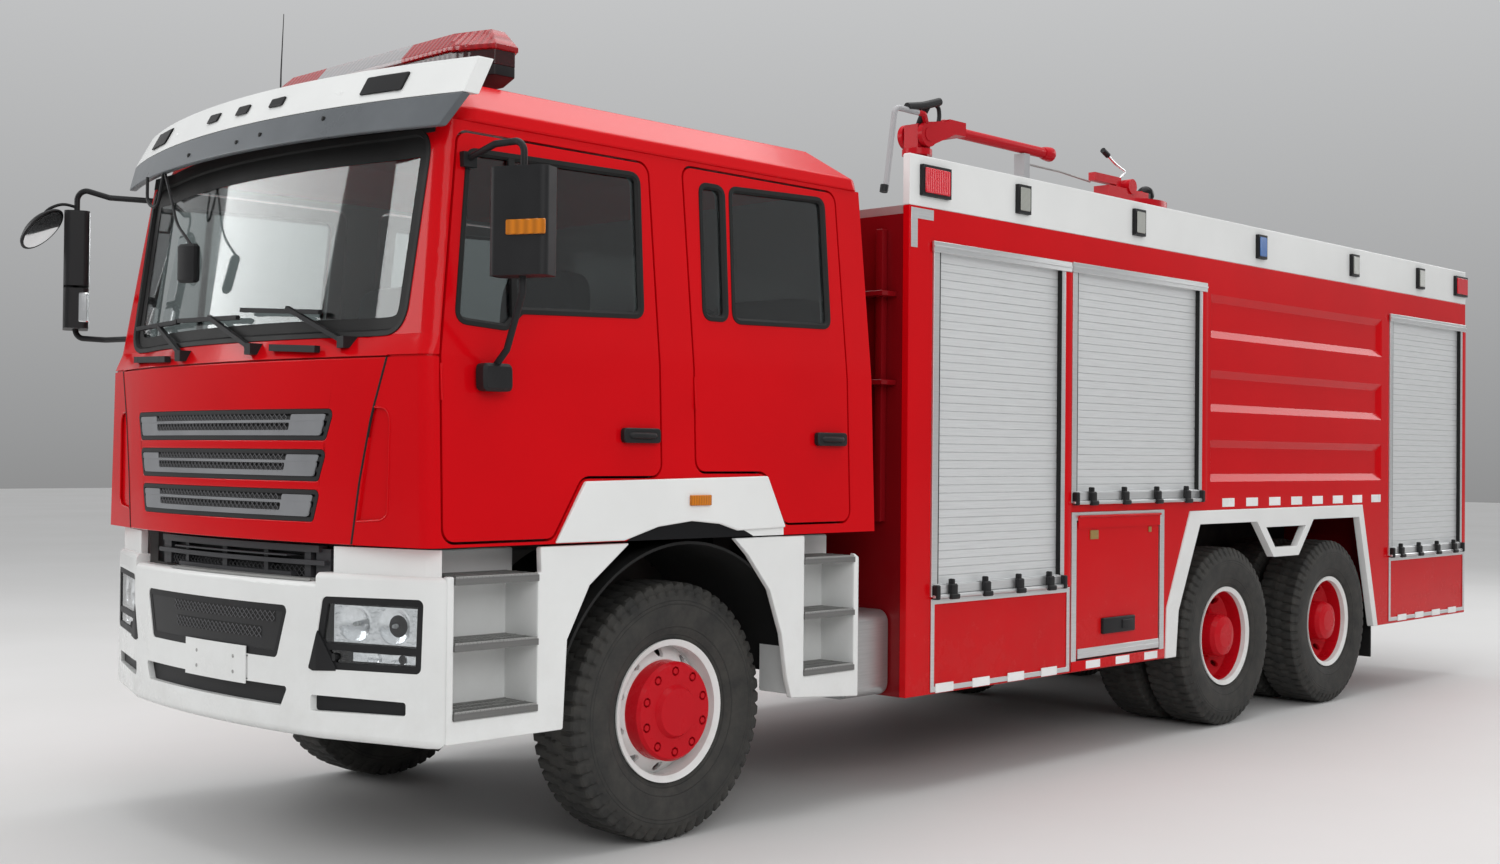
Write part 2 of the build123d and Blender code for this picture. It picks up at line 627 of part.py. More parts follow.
# Front fenders: white skins with step boxes ahead of and behind the wheel, and the arch cover on the cab
FRONT_FENDER = ((STEP_FRONT[0], STEP_LOW), (STEP_FRONT[0], 1160), (795, 1160), (800, 1256), (345, 1256), (552, 1099),
                (664, 893), (681, STEP_LOW))
STEP_SIDE = 34
STEP_WALL_TOP = 1246
REAR_FENDER = ((-255, 1258), (-880, 1258), (-1073, 1150), (-1073, STEP_LOW - 40), (-620, STEP_LOW - 5), (-590, 640),
               (-555, 830), (-476, 1028), (-340, 1185))
ARCH_COVER = ((738, 1268), (588, 1504), (-440, 1522), (-556, 1298), (-258, 1291), (-150, 1322), (12, 1337), (200, 1318),
              (382, 1268))
with BuildPart() as front_fenders:
    for outline, (first, last) in ((FRONT_FENDER, STEP_FRONT), (REAR_FENDER, STEP_REAR)):
        add(side_prism(outline, FENDER_OUT - FENDER_SKIN, FENDER_OUT))
        add(block((first, last), (FENDER_OUT - STEP_DEEP - 40, FENDER_OUT - FENDER_SKIN), (STEP_LOW, STEP_BOX_TOP)))
        pocket = (first - STEP_SIDE, last + STEP_SIDE)
        add(block(pocket, (FENDER_OUT - STEP_DEEP, FENDER_OUT + 1), (STEP_TREADS[2], 1300)), mode=Mode.SUBTRACT)
        add(block((first, last), (FENDER_OUT - STEP_DEEP - 40, FENDER_OUT - STEP_DEEP), (STEP_LOW, STEP_WALL_TOP)))
    add(side_prism(ARCH_COVER, 1240, COVER_OUT))
    add(cab_outer, mode=Mode.SUBTRACT)
    mirror(about=Plane.XZ)
save(front_fenders.part, "front_fenders")

with BuildPart() as step_treads:
    for first, last in (STEP_FRONT, STEP_REAR):
        for level in (STEP_BOX_TOP, *STEP_TREADS[1:]):
            add(block((first - STEP_SIDE, last + STEP_SIDE), (FENDER_OUT - STEP_DEEP + FIT, FENDER_OUT + 6),
                      (level, level + TREAD_THICK)))
    mirror(about=Plane.XZ)
save(step_treads.part, "step_treads")

# Black liners over the front wheels, and mud flaps behind the rear ones
FLAP_X = -6640
with BuildPart() as wheel_liners:
    add(arch_disc(ARCH_R + LINER_THICK, LOCKER_IN, FENDER_OUT - FENDER_SKIN))
    add(arch_disc(ARCH_R, LOCKER_IN - 1, FENDER_OUT), mode=Mode.SUBTRACT)
    add(block((-900, 900), (0, 1300), (-400, 640)), mode=Mode.SUBTRACT)
    add(block((FLAP_X, FLAP_X + 14), (LOCKER_IN, BODY_HALF - WALL), (250, BODY_LOW + 160)))
    mirror(about=Plane.XZ)
    add(front_fenders.part, mode=Mode.SUBTRACT)
    add(step_treads.part, mode=Mode.SUBTRACT)
save(wheel_liners.part, "wheel_liners")


def lug_outline():
    """Points round the tread: each lug has two at its tip and two at the groove behind it."""
    pitch = 2 * pi / LUGS
    points = []
    for k in range(LUGS):
        for share, radius in LUG_SHARES:
            turn = pi / 2 + (k + share) * pitch
            points.append((radius * cos(turn), radius * sin(turn)))
    return points


def many_sided(plane, radius, end_radius, height):
    """A drum with as many flat sides as lugs, from a radius to its sides at a plane to another at a height."""
    lean = degrees(atan2(radius - end_radius, height))
    with BuildPart(mode=Mode.PRIVATE) as drum:
        with BuildSketch(plane):
            RegularPolygon(radius, LUGS, major_radius=False)
        extrude(amount=height, taper=lean)
    return drum.part


def tyre_solid():
    """One lugged tyre about the Y axis, centred on its own middle plane: a faceted carcass and its tread."""
    across = Plane((0, 0, 0), x_dir=(1, 0, 0), z_dir=(0, 1, 0))
    dish = TYRE_HALF - BEAD_HALF
    inward = Plane((0, TYRE_HALF, 0), x_dir=(1, 0, 0), z_dir=(0, -1, 0))
    hollow = many_sided(inward, WALL_R - 4, RIM_R + 4, dish)
    with BuildPart(mode=Mode.PRIVATE) as tyre:
        add(many_sided(across.offset(TREAD_HALF), SHOULDER_R, WALL_R, CARCASS_EDGE))
        mirror(about=Plane.XZ)
        with BuildSketch(across.offset(-TREAD_HALF)):
            with BuildLine():
                Polyline(*lug_outline(), close=True)
            make_face()
        extrude(amount=2 * TREAD_HALF)
        add(hollow, mode=Mode.SUBTRACT)
        add(hollow.mirror(Plane.XZ), mode=Mode.SUBTRACT)
        with BuildSketch(across.offset(-TYRE_HALF)):
            RegularPolygon(BEAD_R, LUGS, major_radius=False)
        extrude(amount=2 * TYRE_HALF, mode=Mode.SUBTRACT)
    return tyre.part


def rim_solid(face, hub_rows):
    """One wheel about the Y axis: barrel, disc at a distance from its middle, hub by rows of radius and height."""
    barrel_in = BEAD_R - 16
    toward = 1 if face > 0 else -1
    with BuildPart(mode=Mode.PRIVATE) as rim:
        with BuildSketch(Plane.XY):
            with BuildLine():
                Polyline((BEAD_R - FIT, -BEAD_HALF - FIT), (BEAD_R - FIT, BEAD_HALF + FIT), (RIM_R, BEAD_HALF + 2),
                         (RIM_R, BEAD_HALF + 11), (barrel_in, BEAD_HALF), (barrel_in, -BEAD_HALF),
                         (RIM_R, -BEAD_HALF - 11), (RIM_R, -BEAD_HALF - 2), close=True)
            make_face()
            with BuildLine():
                Polyline((barrel_in + 6, face - toward * 60), (215, face), (HUB_BORE_R + 60, face),
                         (HUB_BORE_R + 60, face - toward * 14), (205, face - toward * 14),
                         (barrel_in + 6, face - toward * 76), close=True)
            make_face()
            with BuildLine():
                Polyline(*hub_rows, (hub_rows[-1][0], face - 60), (HUB_BORE_R, face - 60),
                         (HUB_BORE_R, hub_rows[0][1] - HUB_CAP), (0, hub_rows[0][1] - HUB_CAP), close=True)
            make_face()
        revolve(axis=Axis.Y)
        with BuildSketch(Plane((0, face - 200, 0), z_dir=(0, 1, 0))):
            with PolarLocations(HOLE_CIRCLE_R, NUT_COUNT):
                RegularPolygon(22, 8)
        extrude(amount=400, mode=Mode.SUBTRACT)
    return rim.part


def at_wheel(part, x, y, side):
    """Places a wheel piece made about the Y axis, turned so that its outside faces out."""
    turn = 0 if side == "left" else 180
    return part.moved(Location((x, y if side == "left" else -y, TYRE_R), (0, 0, turn)))


# Front wheels: one tyre each, on a rim whose disc stands out near its face
FRONT_FACE = 74
FRONT_HUB_OUT = 176
HUB_CAP = 46
RING_R = 207
RING_BACK = 20
HOLE_CIRCLE_R = 240
NUT_POCKET_R = 21
tyre = tyre_solid()
ring_face = FRONT_HUB_OUT - RING_BACK
front_hub = ((0, FRONT_HUB_OUT), (98, FRONT_HUB_OUT), (112, ring_face), (RING_R - 12, ring_face),
             (RING_R, ring_face - 14), (RING_R, FRONT_FACE - 8))
with BuildPart() as front_wheel:
    add(rim_solid(FRONT_FACE, front_hub))
    with BuildSketch(Plane((0, ring_face - 18, 0), z_dir=(0, 1, 0))):
        with PolarLocations(NUT_CIRCLE_R, NUT_COUNT):
            RegularPolygon(NUT_POCKET_R, 8)
            RegularPolygon(13, 6, mode=Mode.SUBTRACT)
    extrude(amount=30, mode=Mode.SUBTRACT)
front_rim = front_wheel.part
for side in ("left", "right"):
    save(at_wheel(tyre, 0, FRONT_TRACK / 2, side), "front_tyre_" + side)
    save(at_wheel(front_rim, 0, FRONT_TRACK / 2, side), "front_wheel_" + side)

# Rear wheels: pairs of tyres on dished rims that share a hub
REAR_FACE = -70
REAR_HUB_OUT = 128
REAR_HUB_R = 128
rear_hub = ((0, REAR_HUB_OUT), (70, REAR_HUB_OUT), (REAR_HUB_R - 12, REAR_HUB_OUT - 12),
            (REAR_HUB_R, REAR_HUB_OUT - 40))
with BuildPart() as rear_rim:
    add(rim_solid(REAR_FACE, rear_hub))
    with BuildSketch(Plane((0, REAR_FACE - 10, 0), z_dir=(0, 1, 0))):
        with PolarLocations(NUT_CIRCLE_R, NUT_COUNT):
            RegularPolygon(17, 6)
    extrude(amount=44)
outer_rim = rear_rim.part
with BuildPart() as dual_tyres:
    add(tyre.moved(Location((0, DUAL_SPACING / 2, 0))))
    add(tyre.moved(Location((0, -DUAL_SPACING / 2, 0))))
with BuildPart() as dual_rims:
    add(outer_rim.moved(Location((0, DUAL_SPACING / 2, 0))))
    with BuildSketch(Plane.XY):
        inner = -DUAL_SPACING / 2
        barrel_in = BEAD_R - 16
        with BuildLine():
            Polyline((BEAD_R - FIT, inner - BEAD_HALF - FIT), (BEAD_R - FIT, inner + BEAD_HALF + FIT),
                     (RIM_R, inner + BEAD_HALF + 2), (RIM_R, inner + BEAD_HALF + 11), (barrel_in, inner + BEAD_HALF),
                     (barrel_in, inner - BEAD_HALF), (RIM_R, inner - BEAD_HALF - 11), (RIM_R, inner - BEAD_HALF - 2),
                     close=True)
        make_face()
    revolve(axis=Axis.Y)
    disc_y = DUAL_SPACING / 2 + REAR_FACE - 16
    with BuildSketch(Plane.XY):
        with BuildLine():
            Polyline((barrel_in + 6, inner + 40), (205, disc_y), (HUB_BORE_R, disc_y), (HUB_BORE_R, disc_y - 14),
                     (198, disc_y - 14), (barrel_in + 6, inner + 24), close=True)
        make_face()
    revolve(axis=Axis.Y)
for number, axle in enumerate(REAR_AXLES, start=1):
    for side in ("left", "right"):
        save(at_wheel(dual_tyres.part, axle, REAR_TRACK / 2, side), "rear_tyres_%d_%s" % (number, side))
        save(at_wheel(dual_rims.part, axle, REAR_TRACK / 2, side), "rear_wheels_%d_%s" % (number, side))

# Steering knuckles: a fork round the axle's end, a kingpin and the wheel's spindle
KINGPIN_R = 30
AXLE_EYE_HALF = 90
FORK_HIGH = 40
SPINDLE_R = HUB_BORE_R - FIT
with BuildPart() as knuckle:
    with BuildSketch(Plane.XY.offset(TYRE_R - AXLE_EYE_HALF - FORK_HIGH - 6)):
        with Locations((0, KINGPIN_Y)):
            Circle(KINGPIN_R)
    extrude(amount=2 * (AXLE_EYE_HALF + FORK_HIGH + 6))
    for low in (TYRE_R - AXLE_EYE_HALF - FORK_HIGH - 6, TYRE_R + AXLE_EYE_HALF + 6):
        add(block((-58, 58), (KINGPIN_Y - 58, KINGPIN_Y + 96), (low, low + FORK_HIGH)))
    add(block((-58, 58), (KINGPIN_Y + 72, KINGPIN_Y + 112), (TYRE_R - AXLE_EYE_HALF - 20, TYRE_R + AXLE_EYE_HALF + 20)))
    with BuildSketch(Plane((0, KINGPIN_Y + 100, TYRE_R), z_dir=(0, 1, 0))):
        Circle(SPINDLE_R)
    extrude(amount=FRONT_TRACK / 2 + FRONT_HUB_OUT - HUB_CAP - FIT - KINGPIN_Y - 100)
for side in ("left", "right"):
    save(knuckle.part if side == "left" else knuckle.part.mirror(Plane.XZ), "knuckle_" + side)

# Front axle: a dropped beam with an eye at each end, on two leaf springs under the rails
SPRING_Y = RAIL_OUT - RAIL_FLANGE / 2
SPRING_HALF = 820
RAIL_LOW = RAIL_TOP - RAIL_DEEP
with BuildPart() as front_axle:
    with BuildSketch(Plane.YZ.offset(-55)):
        with BuildLine():
            Polyline((0, 430), (560, 430), (KINGPIN_Y - 70, TYRE_R - 50), (KINGPIN_Y, TYRE_R - 50), (KINGPIN_Y, TYRE_R + 50),
                     (KINGPIN_Y - 90, TYRE_R + 50), (540, 540), (0, 540), close=True)
        make_face()
        mirror(about=Plane.YZ)
    extrude(amount=110)
    for y in (-KINGPIN_Y, KINGPIN_Y):
        with BuildSketch(Plane.XY.offset(TYRE_R - AXLE_EYE_HALF)):
            with Locations((0, y)):
                Circle(55)
        extrude(amount=2 * AXLE_EYE_HALF)
        with BuildSketch(Plane.XY.offset(TYRE_R - AXLE_EYE_HALF)):
            with Locations((0, y)):
                Circle(KINGPIN_R + FIT)
        extrude(amount=2 * AXLE_EYE_HALF, mode=Mode.SUBTRACT)
    for y in (-SPRING_Y, SPRING_Y):
        with BuildSketch(Plane.XZ.offset(-(y + 40))):
            with BuildLine():
                ThreePointArc((-SPRING_HALF, RAIL_LOW), (0, 536), (SPRING_HALF, RAIL_LOW))
                Line((SPRING_HALF, RAIL_LOW), (SPRING_HALF - 70, RAIL_LOW))
                ThreePointArc((SPRING_HALF - 70, RAIL_LOW), (0, 620), (70 - SPRING_HALF, RAIL_LOW))
                Line((70 - SPRING_HALF, RAIL_LOW), (-SPRING_HALF, RAIL_LOW))
            make_face()
        extrude(amount=80)
save(front_axle.part, "front_axle")

# Rear axles: housings with their gears, a drive shaft between them, and bogie springs under the rails
BOGIE_X = (REAR_AXLES[0] + REAR_AXLES[1]) / 2
HOUSING_R = 78
BOGIE_SPRING_Y = 512
with BuildPart() as rear_axles:
    for x in REAR_AXLES:
        with BuildSketch(Plane.XZ.offset(REAR_TRACK / 2 - 60)):
            with Locations((x, TYRE_R)):
                Circle(HOUSING_R)
        extrude(amount=-(REAR_TRACK - 120))
        for half in (REAR_TRACK / 2 + DUAL_SPACING / 2 + REAR_HUB_OUT - HUB_CAP - FIT,):
            with BuildSketch(Plane.XZ.offset(half)):
                with Locations((x, TYRE_R)):
                    Circle(SPINDLE_R)
            extrude(amount=-2 * half)
        with BuildSketch(Plane.XZ.offset(150)):
            with Locations((x, TYRE_R)):
                Circle(215)
        extrude(amount=-300)
    with BuildSketch(Plane.YZ.offset(REAR_AXLES[1])):
        with Locations((0, TYRE_R + 70)):
            Circle(48)
    extrude(amount=REAR_AXLES[0] - REAR_AXLES[1] + 2360)
    for y in (-BOGIE_SPRING_Y, BOGIE_SPRING_Y):
        with BuildSketch(Plane.XZ.offset(-(y + 42))):
            with BuildLine():
                ThreePointArc((REAR_AXLES[1], 640), (BOGIE_X, 820), (REAR_AXLES[0], 640))
                Line((REAR_AXLES[0], 640), (REAR_AXLES[0], 590))
                Line((REAR_AXLES[0], 590), (BOGIE_X, 650))
                Line((BOGIE_X, 650), (REAR_AXLES[1], 590))
                Line((REAR_AXLES[1], 590), (REAR_AXLES[1], 640))
            make_face()
        extrude(amount=84)
save(rear_axles.part, "rear_axles")

# Chassis: two channel rails with cross-members, cab posts, sub-frame, bogie brackets, outriggers and bumper arms
CROSS_X = (1150, -1700, -3300, BOGIE_X, -6700, -8000)
ENGINE_BEARERS = (560, -520)
with BuildPart() as chassis_frame:
    for hand in (-1, 1):
        web = sorted((hand * RAIL_OUT, hand * (RAIL_OUT - RAIL_WEB)))
        flange = sorted((hand * RAIL_OUT, hand * (RAIL_OUT - RAIL_FLANGE)))
        add(block((RAIL_BACK, RAIL_FRONT), web, (RAIL_LOW, RAIL_TOP)))
        for z in (RAIL_LOW, RAIL_TOP - RAIL_WEB):
            add(block((RAIL_BACK, RAIL_FRONT), flange, (z, z + RAIL_WEB)))
        add(block((RAIL_BACK, BODY_FRONT - 80), flange, (RAIL_TOP, BODY_FLOOR)))
        for x in (900, -1000):
            add(block((x - 60, x + 60), flange, (RAIL_TOP, CAB_FLOOR)))
        for x, reach in ((1000, FENDER_OUT - STEP_DEEP - 40), (-860, FENDER_OUT - STEP_DEEP - 40)):
            add(block((x - 40, x + 40), sorted((hand * RAIL_OUT, hand * reach)), (780, 860)))
        for x in (-2300, -7300):
            add(block((x - 40, x + 40), sorted((hand * RAIL_OUT, hand * LOCKER_IN)), (780, 860)))
        add(block((BOGIE_X - 90, BOGIE_X + 90), sorted((hand * RAIL_OUT, hand * (BOGIE_SPRING_Y - 42))), (700, 900)))
        arm = block((RAIL_FRONT - 60, NOSE_X), flange, (RAIL_LOW + 20, RAIL_TOP - 20))
        add(arm - bumper_ring(-200, BUMPER_SKIN, 400, 1300))
    for x in CROSS_X:
        add(block((x - 40, x + 40), (RAIL_WEB - RAIL_OUT, RAIL_OUT - RAIL_WEB), (RAIL_LOW + 60, RAIL_TOP - 60)))
    for x in ENGINE_BEARERS:
        add(block((x - 40, x + 40), (RAIL_FLANGE - RAIL_OUT, RAIL_OUT - RAIL_FLANGE), (600, RAIL_LOW + 30)))
save(chassis_frame.part, "chassis_frame")

# Engine and gearbox as one plain block on two cross-members
with BuildPart() as engine_block:
    add(block((880, -620), (-330, 330), (RAIL_LOW + 30, CAB_FLOOR - 25)))
    chamfer(engine_block.edges().filter_by(Axis.X), 60)
    add(block((-560, -1250), (-200, 200), (RAIL_LOW + 30, RAIL_TOP + 60)))
save(engine_block.part, "engine_block")

# Fuel tank on the left and battery box on the right, on brackets from the rails
with BuildPart() as chassis_tanks:
    add(block((-1118, -1402), (700, 1150), (475, 880)))
    fillet(chassis_tanks.edges().filter_by(Axis.X), 60)
    for x in (-1180, -1340):
        add(block((x - 20, x + 20), (RAIL_OUT, 720), (RAIL_LOW + 20, 860)))
    mirror(about=Plane.XZ)
save(chassis_tanks.part, "chassis_tanks")

# Body shell: floor over the wheels, front and rear walls, and the lower lockers' boxes
REAR_SHUTTER = (720, 1330, 2640)
LOCKERS = ((BODY_FRONT, -3826), (-6640, BODY_BACK))
with BuildPart() as body_shell:
    inner = BODY_HALF - WALL
    add(block((BODY_FRONT, BODY_BACK), (-inner, inner), (BODY_FLOOR, BODY_FLOOR + WALL)))
    for first in (BODY_FRONT, BODY_BACK + WALL):
        add(block((first, first - WALL), (-inner, inner), (BODY_FLOOR, BODY_TOP - DECK_THICK)))
    half, low, high = REAR_SHUTTER
    add(block((BODY_BACK - 10, BODY_BACK + WALL + 10), (-half, half), (low, high)), mode=Mode.SUBTRACT)
    for first, last in LOCKERS:
        for hand in (-1, 1):
            span = sorted((hand * LOCKER_IN, hand * inner))
            add(block((first, last), span, (BODY_LOW, BODY_LOW + WALL)))
            add(block((first, last), sorted((hand * LOCKER_IN, hand * (LOCKER_IN + WALL))), (BODY_LOW, BODY_FLOOR)))
            for x in (first, last + WALL):
                add(block((x, x - WALL), span, (BODY_LOW, BODY_FLOOR)))
save(body_shell.part, "body_shell")

# Body sides: walls with their arch, shutter and locker openings, and the fluted tank side
with BuildPart() as body_sides:
    side_edge = ((BODY_FRONT, BODY_LOW), (BODY_FRONT, BODY_TOP), (BODY_BACK, BODY_TOP), (BODY_BACK, BODY_LOW))
    add(side_prism(side_edge, BODY_HALF - WALL, BODY_HALF))
    add(side_prism(ARCH_OUT, BODY_HALF - WALL - 1, BODY_HALF + 1), mode=Mode.SUBTRACT)
    for front, back, low, high in SHUTTERS:
        add(block((front, back), (BODY_HALF - WALL - 1, BODY_HALF + 1), (low, high)), mode=Mode.SUBTRACT)
    front, back, low, high = LOCKER_DOOR
    add(block((front, back), (BODY_HALF - WALL - 1, BODY_HALF + 1), (low, high)), mode=Mode.SUBTRACT)
    for top, low in FLUTES:
        with BuildSketch(Plane.XZ.offset(-BODY_HALF)):
            with Locations(((FLUTE_ENDS[0] + FLUTE_ENDS[1]) / 2, (top + low) / 2)):
                Rectangle(FLUTE_ENDS[0] - FLUTE_ENDS[1], top - low)
        extrude(amount=FLUTE_DEEP, taper=degrees(atan2(FLUTE_SLOPE, FLUTE_DEEP)), mode=Mode.SUBTRACT)
    mirror(about=Plane.XZ)
save(body_sides.part, "body_sides")

# Roof deck between the sides, with a raised plate at the back for gear
GEAR_PLATE = (-5900, -8080, 8)
with BuildPart() as body_roof:
    deck_half = BODY_HALF - WALL
    add(block((BODY_FRONT, BODY_BACK), (-deck_half, deck_half), (BODY_TOP - DECK_THICK, BODY_TOP)))
    plate_half = deck_half - 110
    add(block(GEAR_PLATE[:2], (-plate_half, plate_half), (BODY_TOP, BODY_TOP + GEAR_PLATE[2])))
save(body_roof.part, "body_roof")

# White coamings along the roof and white trims round the rear arches
with BuildPart() as white_trim:
    add(block((BODY_FRONT, BODY_BACK), (BODY_HALF - WALL, BODY_HALF), (BODY_TOP, COAMING_TOP)))
    add(side_prism(ARCH_OUT, BODY_HALF - WALL, BODY_HALF + FRAME_PROUD))
    add(side_prism(ARCH_IN, BODY_HALF - WALL - 1, BODY_HALF + FRAME_PROUD + 1), mode=Mode.SUBTRACT)
    vee = side_prism(ARCH_VEE, BODY_HALF - WALL, BODY_HALF + FRAME_PROUD)
    add(vee - side_prism(ARCH_VEE_HOLE, BODY_HALF - WALL - 1, BODY_HALF + FRAME_PROUD + 1))
    mirror(about=Plane.XZ)
save(white_trim.part, "white_trim")


def frame_ring(front, back, low, high, window_low, y_in, y_out):
    """An aluminium frame round a shutter or door, with a deeper bar under its window."""
    with BuildPart(mode=Mode.PRIVATE) as ring:
        add(block((front, back), (y_in, y_out), (low, high)))
        add(block((front - FRAME_WIDE, back + FRAME_WIDE), (y_in - 1, y_out + 1), (window_low, high - FRAME_WIDE)),
            mode=Mode.SUBTRACT)
    return ring.part


def curtain(front, back, low, high, y_out):
    """A roller curtain: a slab whose face is grooved between its slats."""
    count = int((high - low) // SLAT_PITCH)
    points = [(y_out - CURTAIN_THICK, low), (y_out, low)]
    for k in range(1, count):
        z = low + k * SLAT_PITCH
        points += [(y_out, z - SLAT_GROOVE), (y_out - 5, z - SLAT_GROOVE / 2), (y_out, z)]
    points += [(y_out, high), (y_out - CURTAIN_THICK, high)]
    with BuildPart(mode=Mode.PRIVATE) as slats:
        with BuildSketch(Plane.YZ.offset(back)):
            with BuildLine():
                Polyline(*points, close=True)
            make_face()
        extrude(amount=front - back)
    return slats.part


# Shutters and their frames, on both sides and at the rear
FRAME_IN = BODY_HALF - WALL
FRAME_OUT = BODY_HALF + FRAME_PROUD
with BuildPart() as shutter_frames:
    for front, back, low, high in SHUTTERS:
        add(frame_ring(front, back, low, high, low + BAR_HIGH, FRAME_IN, FRAME_OUT))
    add(frame_ring(*LOCKER_DOOR, LOCKER_DOOR[2] + FRAME_WIDE, FRAME_IN, FRAME_OUT))
    for front, back, low, high in LOWER_PANELS:
        trim = block((front, back), (BODY_HALF, FRAME_OUT), (low, high))
        room = block((front - PANEL_TRIM, back + PANEL_TRIM), (BODY_HALF - 1, FRAME_OUT + 1),
                     (low + PANEL_TRIM, high - PANEL_TRIM))
        add(trim - room)
    mirror(about=Plane.XZ)
    half, low, high = REAR_SHUTTER
    ring = block((BODY_BACK - FRAME_PROUD, BODY_BACK + WALL), (-half, half), (low, high))
    add(ring - block((BODY_BACK - 50, BODY_BACK + 90), (FRAME_WIDE - half, half - FRAME_WIDE),
                     (low + BAR_HIGH, high - FRAME_WIDE)))
save(shutter_frames.part, "shutter_frames")

with BuildPart() as shutters:
    for front, back, low, high in SHUTTERS:
        add(curtain(front - FRAME_WIDE, back + FRAME_WIDE, low + BAR_HIGH, high - FRAME_WIDE, BODY_HALF - CURTAIN_IN))
    mirror(about=Plane.XZ)
    half, low, high = REAR_SHUTTER
    rear = curtain(half - FRAME_WIDE, FRAME_WIDE - half, low + BAR_HIGH, high - FRAME_WIDE, 0)
    add(rear.moved(Location((BODY_BACK + CURTAIN_IN, 0, 0), (0, 0, 90))))
save(shutters.part, "shutters")

# Locker doors, hung on a barrel hinge along their top edge, with a raised handle
HINGE_R = 7
front, back, low, high = LOCKER_DOOR
HANDLE_X = -3273
with BuildPart() as locker_door:
    add(block((front - FRAME_WIDE - RUN_GAP, back + FRAME_WIDE + RUN_GAP), (BODY_HALF - 34, BODY_HALF + 2),
              (low + FRAME_WIDE + RUN_GAP, high - FRAME_WIDE - RUN_GAP)))
    add(block((HANDLE_X - 165, HANDLE_X + 165), (BODY_HALF, BODY_HALF + 18), (676, 738)))
    hinge_z = high - FRAME_WIDE / 2
    hinge_y = FRAME_OUT + HINGE_R + FIT
    hinge_ends = (front - FRAME_WIDE - RUN_GAP, back + FRAME_WIDE + RUN_GAP)
    door_top = high - FRAME_WIDE - RUN_GAP
    add(block(hinge_ends, (BODY_HALF, FRAME_OUT + FIT + 4), (door_top - 30, door_top)))
    add(block(hinge_ends, (FRAME_OUT + FIT, FRAME_OUT + FIT + 4), (door_top - 30, hinge_z)))
    with BuildSketch(Plane.YZ.offset(hinge_ends[1])):
        with Locations((hinge_y, hinge_z)):
            Circle(HINGE_R)
    extrude(amount=hinge_ends[0] - hinge_ends[1])
for side in ("left", "right"):
    save(locker_door.part if side == "left" else locker_door.part.mirror(Plane.XZ), "locker_door_" + side)

# Lamps along the coaming and at the tail
with BuildPart() as side_lamps:
    for x, half in LAMPS:
        lamp_heights = (LAMP_Z - LAMP_HALF_HIGH, LAMP_Z + LAMP_HALF_HIGH)
        add(block((x - half, x + half), (BODY_HALF, BODY_HALF + LAMP_PROUD), lamp_heights))
    add(block((BODY_BACK - 30, BODY_BACK), (820, 1180), (1000, 1130)))
    mirror(about=Plane.XZ)
save(side_lamps.part, "side_lamps")

# Rear ladder on the right, from the tail's foot to the roof
LADDER_Y = (90 - BODY_HALF, 450 - BODY_HALF)
with BuildPart() as rear_ladder:
    for y in LADDER_Y:
        add(block((TAIL_X, TAIL_X + 30), (y - 18, y + 18), (620, 3020)))
        for z in (700, 1700, 2740):
            add(block((TAIL_X + 30, BODY_BACK), (y - 18, y + 18), (z, z + 40)))
    for k in range(8):
        z = 690 + 290 * k
        add(block((TAIL_X + 3, TAIL_X + 27), LADDER_Y, (z, z + 28)))
save(rear_ladder.part, "rear_ladder")

# Wipers with their bosses, and two black foot rails, on the cab's front
WIPERS = (((1473, -276, 1999), (1373, -674, 2143), (1315, -984, 2151), (1416, -423, 2150)),
          ((1468, 274, 2008), (1441, -115, 2154), (1412, -443, 2155), (1443, 118, 2141)),
          ((1380, 791, 2020), (1412, 434, 2164), (1438, 137, 2170), (1384, 623, 2141)))
FOOT_RAILS = (((1380, -859, 2005), (1466, -412, 1990)), ((1452, 392, 2010), (1426, 675, 1996)))
ARM_WIDE = 18
RAIL_WIDE = 26


def stick(start, end, wide):
    """A straight bar of square section between two points."""
    path = Vector(*end) - Vector(*start)
    with BuildPart(mode=Mode.PRIVATE) as bar:
        with BuildSketch(Plane(start, z_dir=path)):
            Rectangle(wide, wide)
        extrude(amount=path.length)
    return bar.part


def boss(place, half):
    """A block from a place on the front back into the cab's skin."""
    x, y, z = place
    return block((x - 90, x + half), (y - half, y + half), (z - half, z + half))


with BuildPart() as wipers:
    for pivot, knuckle, blade_start, blade_end in WIPERS:
        add(stick(pivot, knuckle, ARM_WIDE))
        add(stick(blade_start, blade_end, ARM_WIDE))
        add(boss(pivot, 22))
    for start, end in FOOT_RAILS:
        add(stick(start, end, RAIL_WIDE))
        for share in (0.15, 0.85):
            add(boss(tuple(a + share * (b - a) for a, b in zip(start, end)), 12))
save(wipers.part - cab_outer, "wipers")

# Mirrors: the left one on its door, the right one on the front corner of the cab
TUBE_R = 13


def bent_tube(points, radius):
    """A round tube along straight runs with bends."""
    with BuildPart(mode=Mode.PRIVATE) as tube:
        with BuildLine() as path:
            FilletPolyline(*points, radius=45)
        with BuildSketch(Plane(path.line @ 0, z_dir=path.line % 0)):
            Circle(radius)
        sweep(path=path.line)
    return tube.part


